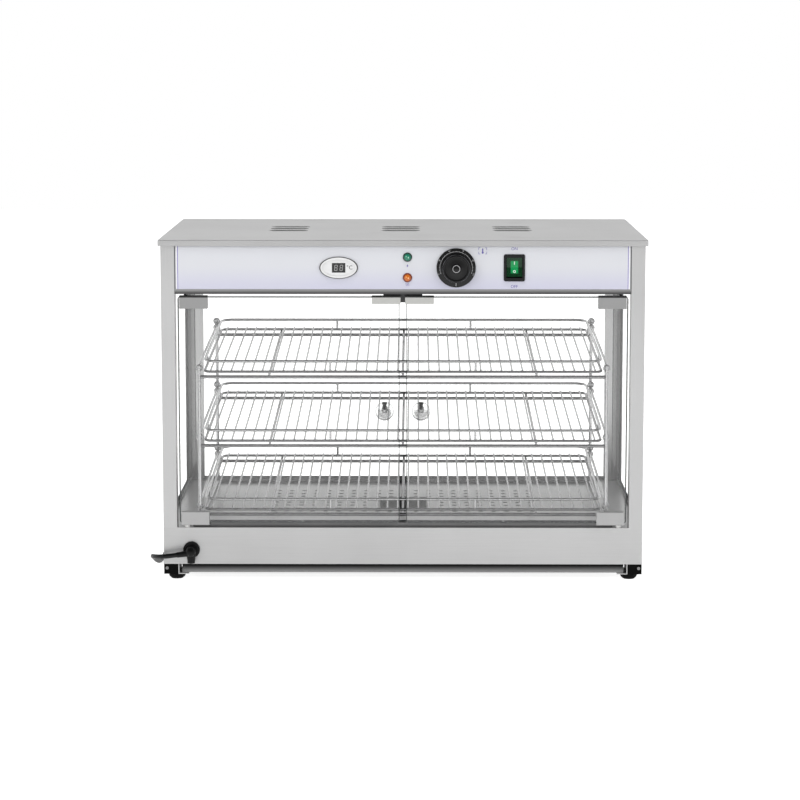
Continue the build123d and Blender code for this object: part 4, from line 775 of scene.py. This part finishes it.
bm = bmesh.new()
for spot in (-display["pitch"] / 2, display["pitch"] / 2):
    for place in segments:
        flatShape(bm, segmentOutline(spot, place), 0.06)
printed("displayFigures", bm, onPanel(display["x"], controlLevel, display["face"] + 0.02), "case", "segment")
lettering("degreeSign", "°C", 5.6, onPanel(display["x"] + 15.6, controlLevel + 0.2, display["face"] + 0.05),
          "case", "blackInk")

# ---- switch: the marks on its rocker, and the words above and below it
switch = {"x": 159.0, "pivot": 4.0, "front": 4.8, "crown": 3.2, "half": 13.5, "throw": 16.0,
          "word": 4.1, "wordRise": 27.0, "mark": (0.9, 4.6), "markRise": 6.0, "ring": (1.15, 2.0)}
pivot = onPanel(switch["x"], controlLevel, -switch["pivot"])
restTurn = Matrix.Rotation(radians(-switch["throw"] / 2), 4, "X")
slope = Vector((0, -switch["crown"], switch["half"])).angle(Vector((0, 0, 1)))


def onRocker(rise, proud=0.06):
    along = abs(rise) / switch["half"]
    local = Matrix.Translation(Vector((0, -switch["front"] - switch["crown"] * along - proud, rise)) * mm)
    lean = Matrix.Rotation(slope if rise > 0 else -slope, 4, "X")
    return Matrix.Translation(pivot) @ restTurn @ local @ lean


bm = bmesh.new()
wide, tall = (size / 2 for size in switch["mark"])
flatShape(bm, [(-wide, -tall), (-wide, tall), (wide, tall), (wide, -tall)], 0.06)
bmesh.ops.recalc_face_normals(bm, faces=bm.faces)
bmesh.ops.transform(bm, matrix=onRocker(switch["markRise"]), verts=bm.verts)
addPiece("rockerBar", bm, "mark", "rocker", smooth=0)
bm = bmesh.new()
near, far = switch["ring"]
spun(bm, [(near, 0), (near, 0.06), (far, 0.06), (far, 0), (near, 0)], Vector(), (0, -1, 0), 32)
bmesh.ops.transform(bm, matrix=onRocker(-switch["markRise"]), verts=bm.verts)
addPiece("rockerRing", bm, "mark", "rocker")
for name, words, rise in (("onWord", "ON", 1), ("offWord", "OFF", -1)):
    lettering(name, words, switch["word"], onPanel(switch["x"], controlLevel + rise * switch["wordRise"]),
              "case", "ink")

# ---- small pictograms printed on the panel: a thermometer in corner brackets, a flash, three heat waves
sign = {
    "x": 113.8, "rise": 24.2, "half": (6.0, 4.7), "line": 0.6, "corner": 2.4, "tall": 1.5,
    "bulb": 1.5, "low": -2.6, "tube": 0.9, "tubeEnds": (-2.0, 2.9, 3.4), "sides": 20, "thick": 0.05, "bulbThick": 0.06,
}
bm = bmesh.new()
wide, tall = sign["half"]
for side in (-1, 1):
    for level in (-1, 1):
        x, z = side * wide, level * tall
        near = (x - side * sign["line"], z - level * sign["line"])
        across, down = x - side * sign["corner"], z - level * sign["corner"] * sign["tall"]
        flatShape(bm, [(x, z), (across, z), (across, near[1]), near], sign["thick"])
        flatShape(bm, [(x, z), near, (near[0], down), (x, down)], sign["thick"])
tube = sign["tube"]
foot, shoulder, top = sign["tubeEnds"]
flatShape(bm, [(-tube, foot), (-tube, shoulder), (-tube * 0.6, top), (tube * 0.6, top), (tube, shoulder),
               (tube, foot)], sign["thick"])
angles = [2 * pi * k / sign["sides"] for k in range(sign["sides"])]
disc = [(sign["bulb"] * cos(angle), sign["low"] + sign["bulb"] * sin(angle)) for angle in angles]
flatShape(bm, disc, sign["bulbThick"])
printed("thermometerSign", bm, onPanel(sign["x"], controlLevel + sign["rise"]), "case", "ink")

lampSigns = {
    "x": 6.6, "powerRise": 2.6, "heatRise": -24.0, "waves": (-1.9, 0.0, 1.9), "steps": 8, "half": 2.2,
    "sway": 0.5, "line": 0.25,
    "flash": ((0.5, 2.6), (-1.5, -0.4), (-0.25, -0.4), (-0.6, -2.6), (1.5, 0.5), (0.25, 0.5)),
}
bm = bmesh.new()
flatShape(bm, lampSigns["flash"], sign["thick"])
flashSpot = onPanel(lampSigns["x"], controlLevel + lampSigns["powerRise"])
printed("powerSign", bm, flashSpot, "case", "ink")
bm = bmesh.new()
for spot in lampSigns["waves"]:
    left, right = [], []
    for k in range(lampSigns["steps"] + 1):
        part = k / lampSigns["steps"]
        z = lampSigns["half"] * (2 * part - 1)
        sway = spot + lampSigns["sway"] * sin(2 * pi * part)
        left.append((sway - lampSigns["line"], z))
        right.append((sway + lampSigns["line"], z))
    flatShape(bm, left + right[::-1], sign["thick"])
waveSpot = onPanel(lampSigns["x"], controlLevel + lampSigns["heatRise"])
printed("heatSign", bm, waveSpot, "case", "ink")
print("display, switch and marks made")

# ---- lamps: a dark collar round a dome with moulded facets
lamp = {"collar": 6.7, "collarHeight": 1.4, "lens": 5.5, "proud": 5.0, "facets": 10}
for name, node, slotName, look in (
    ("powerLens", "power_lamp", "lamp_green", "greenLens"),
    ("heatLens", "heat_lamp", "lamp_orange", "orangeLens"),
):
    spot = middleOf(node)
    spot.y = panelFace
    bm = bmesh.new()
    spun(bm, [
        (0, 0), (lamp["collar"] - 0.3, 0), (lamp["collar"], 0.3),
        (lamp["collar"], lamp["collarHeight"] - 0.4),
        (lamp["collar"] - 0.5, lamp["collarHeight"]), (lamp["lens"] + 0.2, lamp["collarHeight"]),
        (lamp["lens"], lamp["collarHeight"] + 0.2), (lamp["lens"] - 0.3, lamp["collarHeight"] + 1.2),
        (lamp["lens"] - 1.2, lamp["collarHeight"] + 2.3), (lamp["lens"] - 2.6, lamp["collarHeight"] + 3.1),
        (lamp["lens"] - 4.2, lamp["collarHeight"] + 3.5), (0, lamp["proud"]),
    ], spot, (0, -1, 0), 6 * lamp["facets"])
    addPiece(name, bm, look, "case", [node], 50)

# ---- clear ball knobs, each with a metal cone inside
ball = {"radius": 13.5, "steps": 28, "turns": 56}
stem = {"root": 4.6, "tip": 1.7, "long": 10.5, "sunk": 0.4}
for side in ("left", "right"):
    low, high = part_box(side + "_ball_knob")
    centre = (low + high) / 2
    bm = bmesh.new()
    angles = [pi * k / ball["steps"] for k in range(ball["steps"] + 1)]
    line = [(ball["radius"] * sin(angle), -ball["radius"] * cos(angle)) for angle in angles]
    line[0], line[-1] = (0, line[0][1]), (0, line[-1][1])
    spun(bm, line, centre, (0, -1, 0), ball["turns"])
    addPiece(side + "ClearBall", bm, "ball", side + "_door", [side + "_ball_knob"], 80)
    bm = bmesh.new()
    base = Vector((centre.x, high.y - stem["sunk"] * mm, centre.z))
    spun(bm, [
        (0, 0), (stem["root"], 0), (stem["root"], 1.0), (stem["root"] - 0.8, 2.2),
        (stem["tip"] + 0.4, stem["long"] - 1), (stem["tip"] - 0.5, stem["long"]), (0, stem["long"]),
    ], base, (0, -1, 0), 40)
    addPiece(side + "StemCone", bm, "screw", side + "_door")
print("lamps and ball knobs made")

# ---- floor and light
stageForm = {
    "size": 14.0, "colour": (0.90, 0.90, 0.90), "glow": 0.85, "mirrorGlow": 0.45, "ceiling": 0.08,
    "front": 0.45, "ambient": 0.62, "high": (0.30, 0.75), "ahead": (0.1, -0.5),
}
bm = bmesh.new()
bmesh.ops.create_grid(bm, x_segments=1, y_segments=1, size=stageForm["size"] / 2)
floorMesh = bpy.data.meshes.new("floor")
bm.to_mesh(floorMesh)
bm.free()
floorPlane = bpy.data.objects.new("floor", floorMesh)
bpy.context.scene.collection.objects.link(floorPlane)
kit = Kit("paleFloor")
seenRays = ("Is Camera Ray", "Is Glossy Ray", "Is Transmission Ray")
paths = [kit.make("LightPath", output=ray) for ray in seenRays]
seen = (paths[0] + paths[1] + paths[2]) > 0.5
glow = {key: kit.make("Emission", sockets={1: stageForm[key]}) for key in ("glow", "mirrorGlow")}
bright = kit.make("MixShader", sockets={0: paths[1], 1: glow["glow"], 2: glow["mirrorGlow"]})
shine = kit.make("MixShader", sockets={0: seen, 1: kit.make("Emission", sockets={1: 0.0}), 2: bright})
matt = kit.surface(stageForm["colour"], 0.9)
floorMesh.materials.append(kit.close(kit.make("AddShader", sockets={0: matt, 1: shine})))

world = bpy.data.worlds.new("studio")
bpy.context.scene.world = world
kit = Kit("studio", world)
paths = [kit.make("LightPath", output=ray) for ray in seenRays]
mirrored = (paths[1] + paths[2]) > 0.5
up = kit.axis("Z", "Generated")
ahead = kit.axis("Y", "Generated")
dim = kit.smooth(up, *stageForm["high"])
front = kit.smooth(ahead, *stageForm["ahead"])
level = 1 - front * (1 - stageForm["front"])
level = level * (1 - dim * (1 - stageForm["ceiling"]))
white = kit.make("Background", sockets={0: (1, 1, 1, 1), 1: 1.0})
room = kit.make("Background", sockets={0: kit.blend(level, (0, 0, 0), (1, 1, 1)), 1: 1.0})
ambient = kit.make("Background", sockets={0: (1, 1, 1, 1), 1: stageForm["ambient"]})
other = kit.make("MixShader", sockets={0: mirrored, 1: ambient, 2: room})
kit.make("OutputWorld", sockets={0: kit.make("MixShader", sockets={0: paths[0], 1: other, 2: white})})


def softLamp(name, place, aim, size, power):
    lamp = bpy.data.lights.new(name, "AREA")
    lamp.shape = "RECTANGLE"
    lamp.size, lamp.size_y = size
    lamp.energy = power
    holder = bpy.data.objects.new(name, lamp)
    bpy.context.scene.collection.objects.link(holder)
    holder.location = place
    holder.rotation_euler = (Vector(aim) - Vector(place)).to_track_quat("-Z", "Y").to_euler()
    holder.visible_glossy = False


softLamp("topSoft", (0.0, -0.3, 2.6), (0, 0, 0.3), (2.6, 2.2), 34)
softLamp("frontLeft", (-2.2, -2.8, 1.7), (0, 0, 0.25), (1.6, 1.6), 26)
softLamp("frontRight", (2.4, -2.6, 1.4), (0, 0, 0.25), (1.6, 1.6), 18)
print("floor and light set")
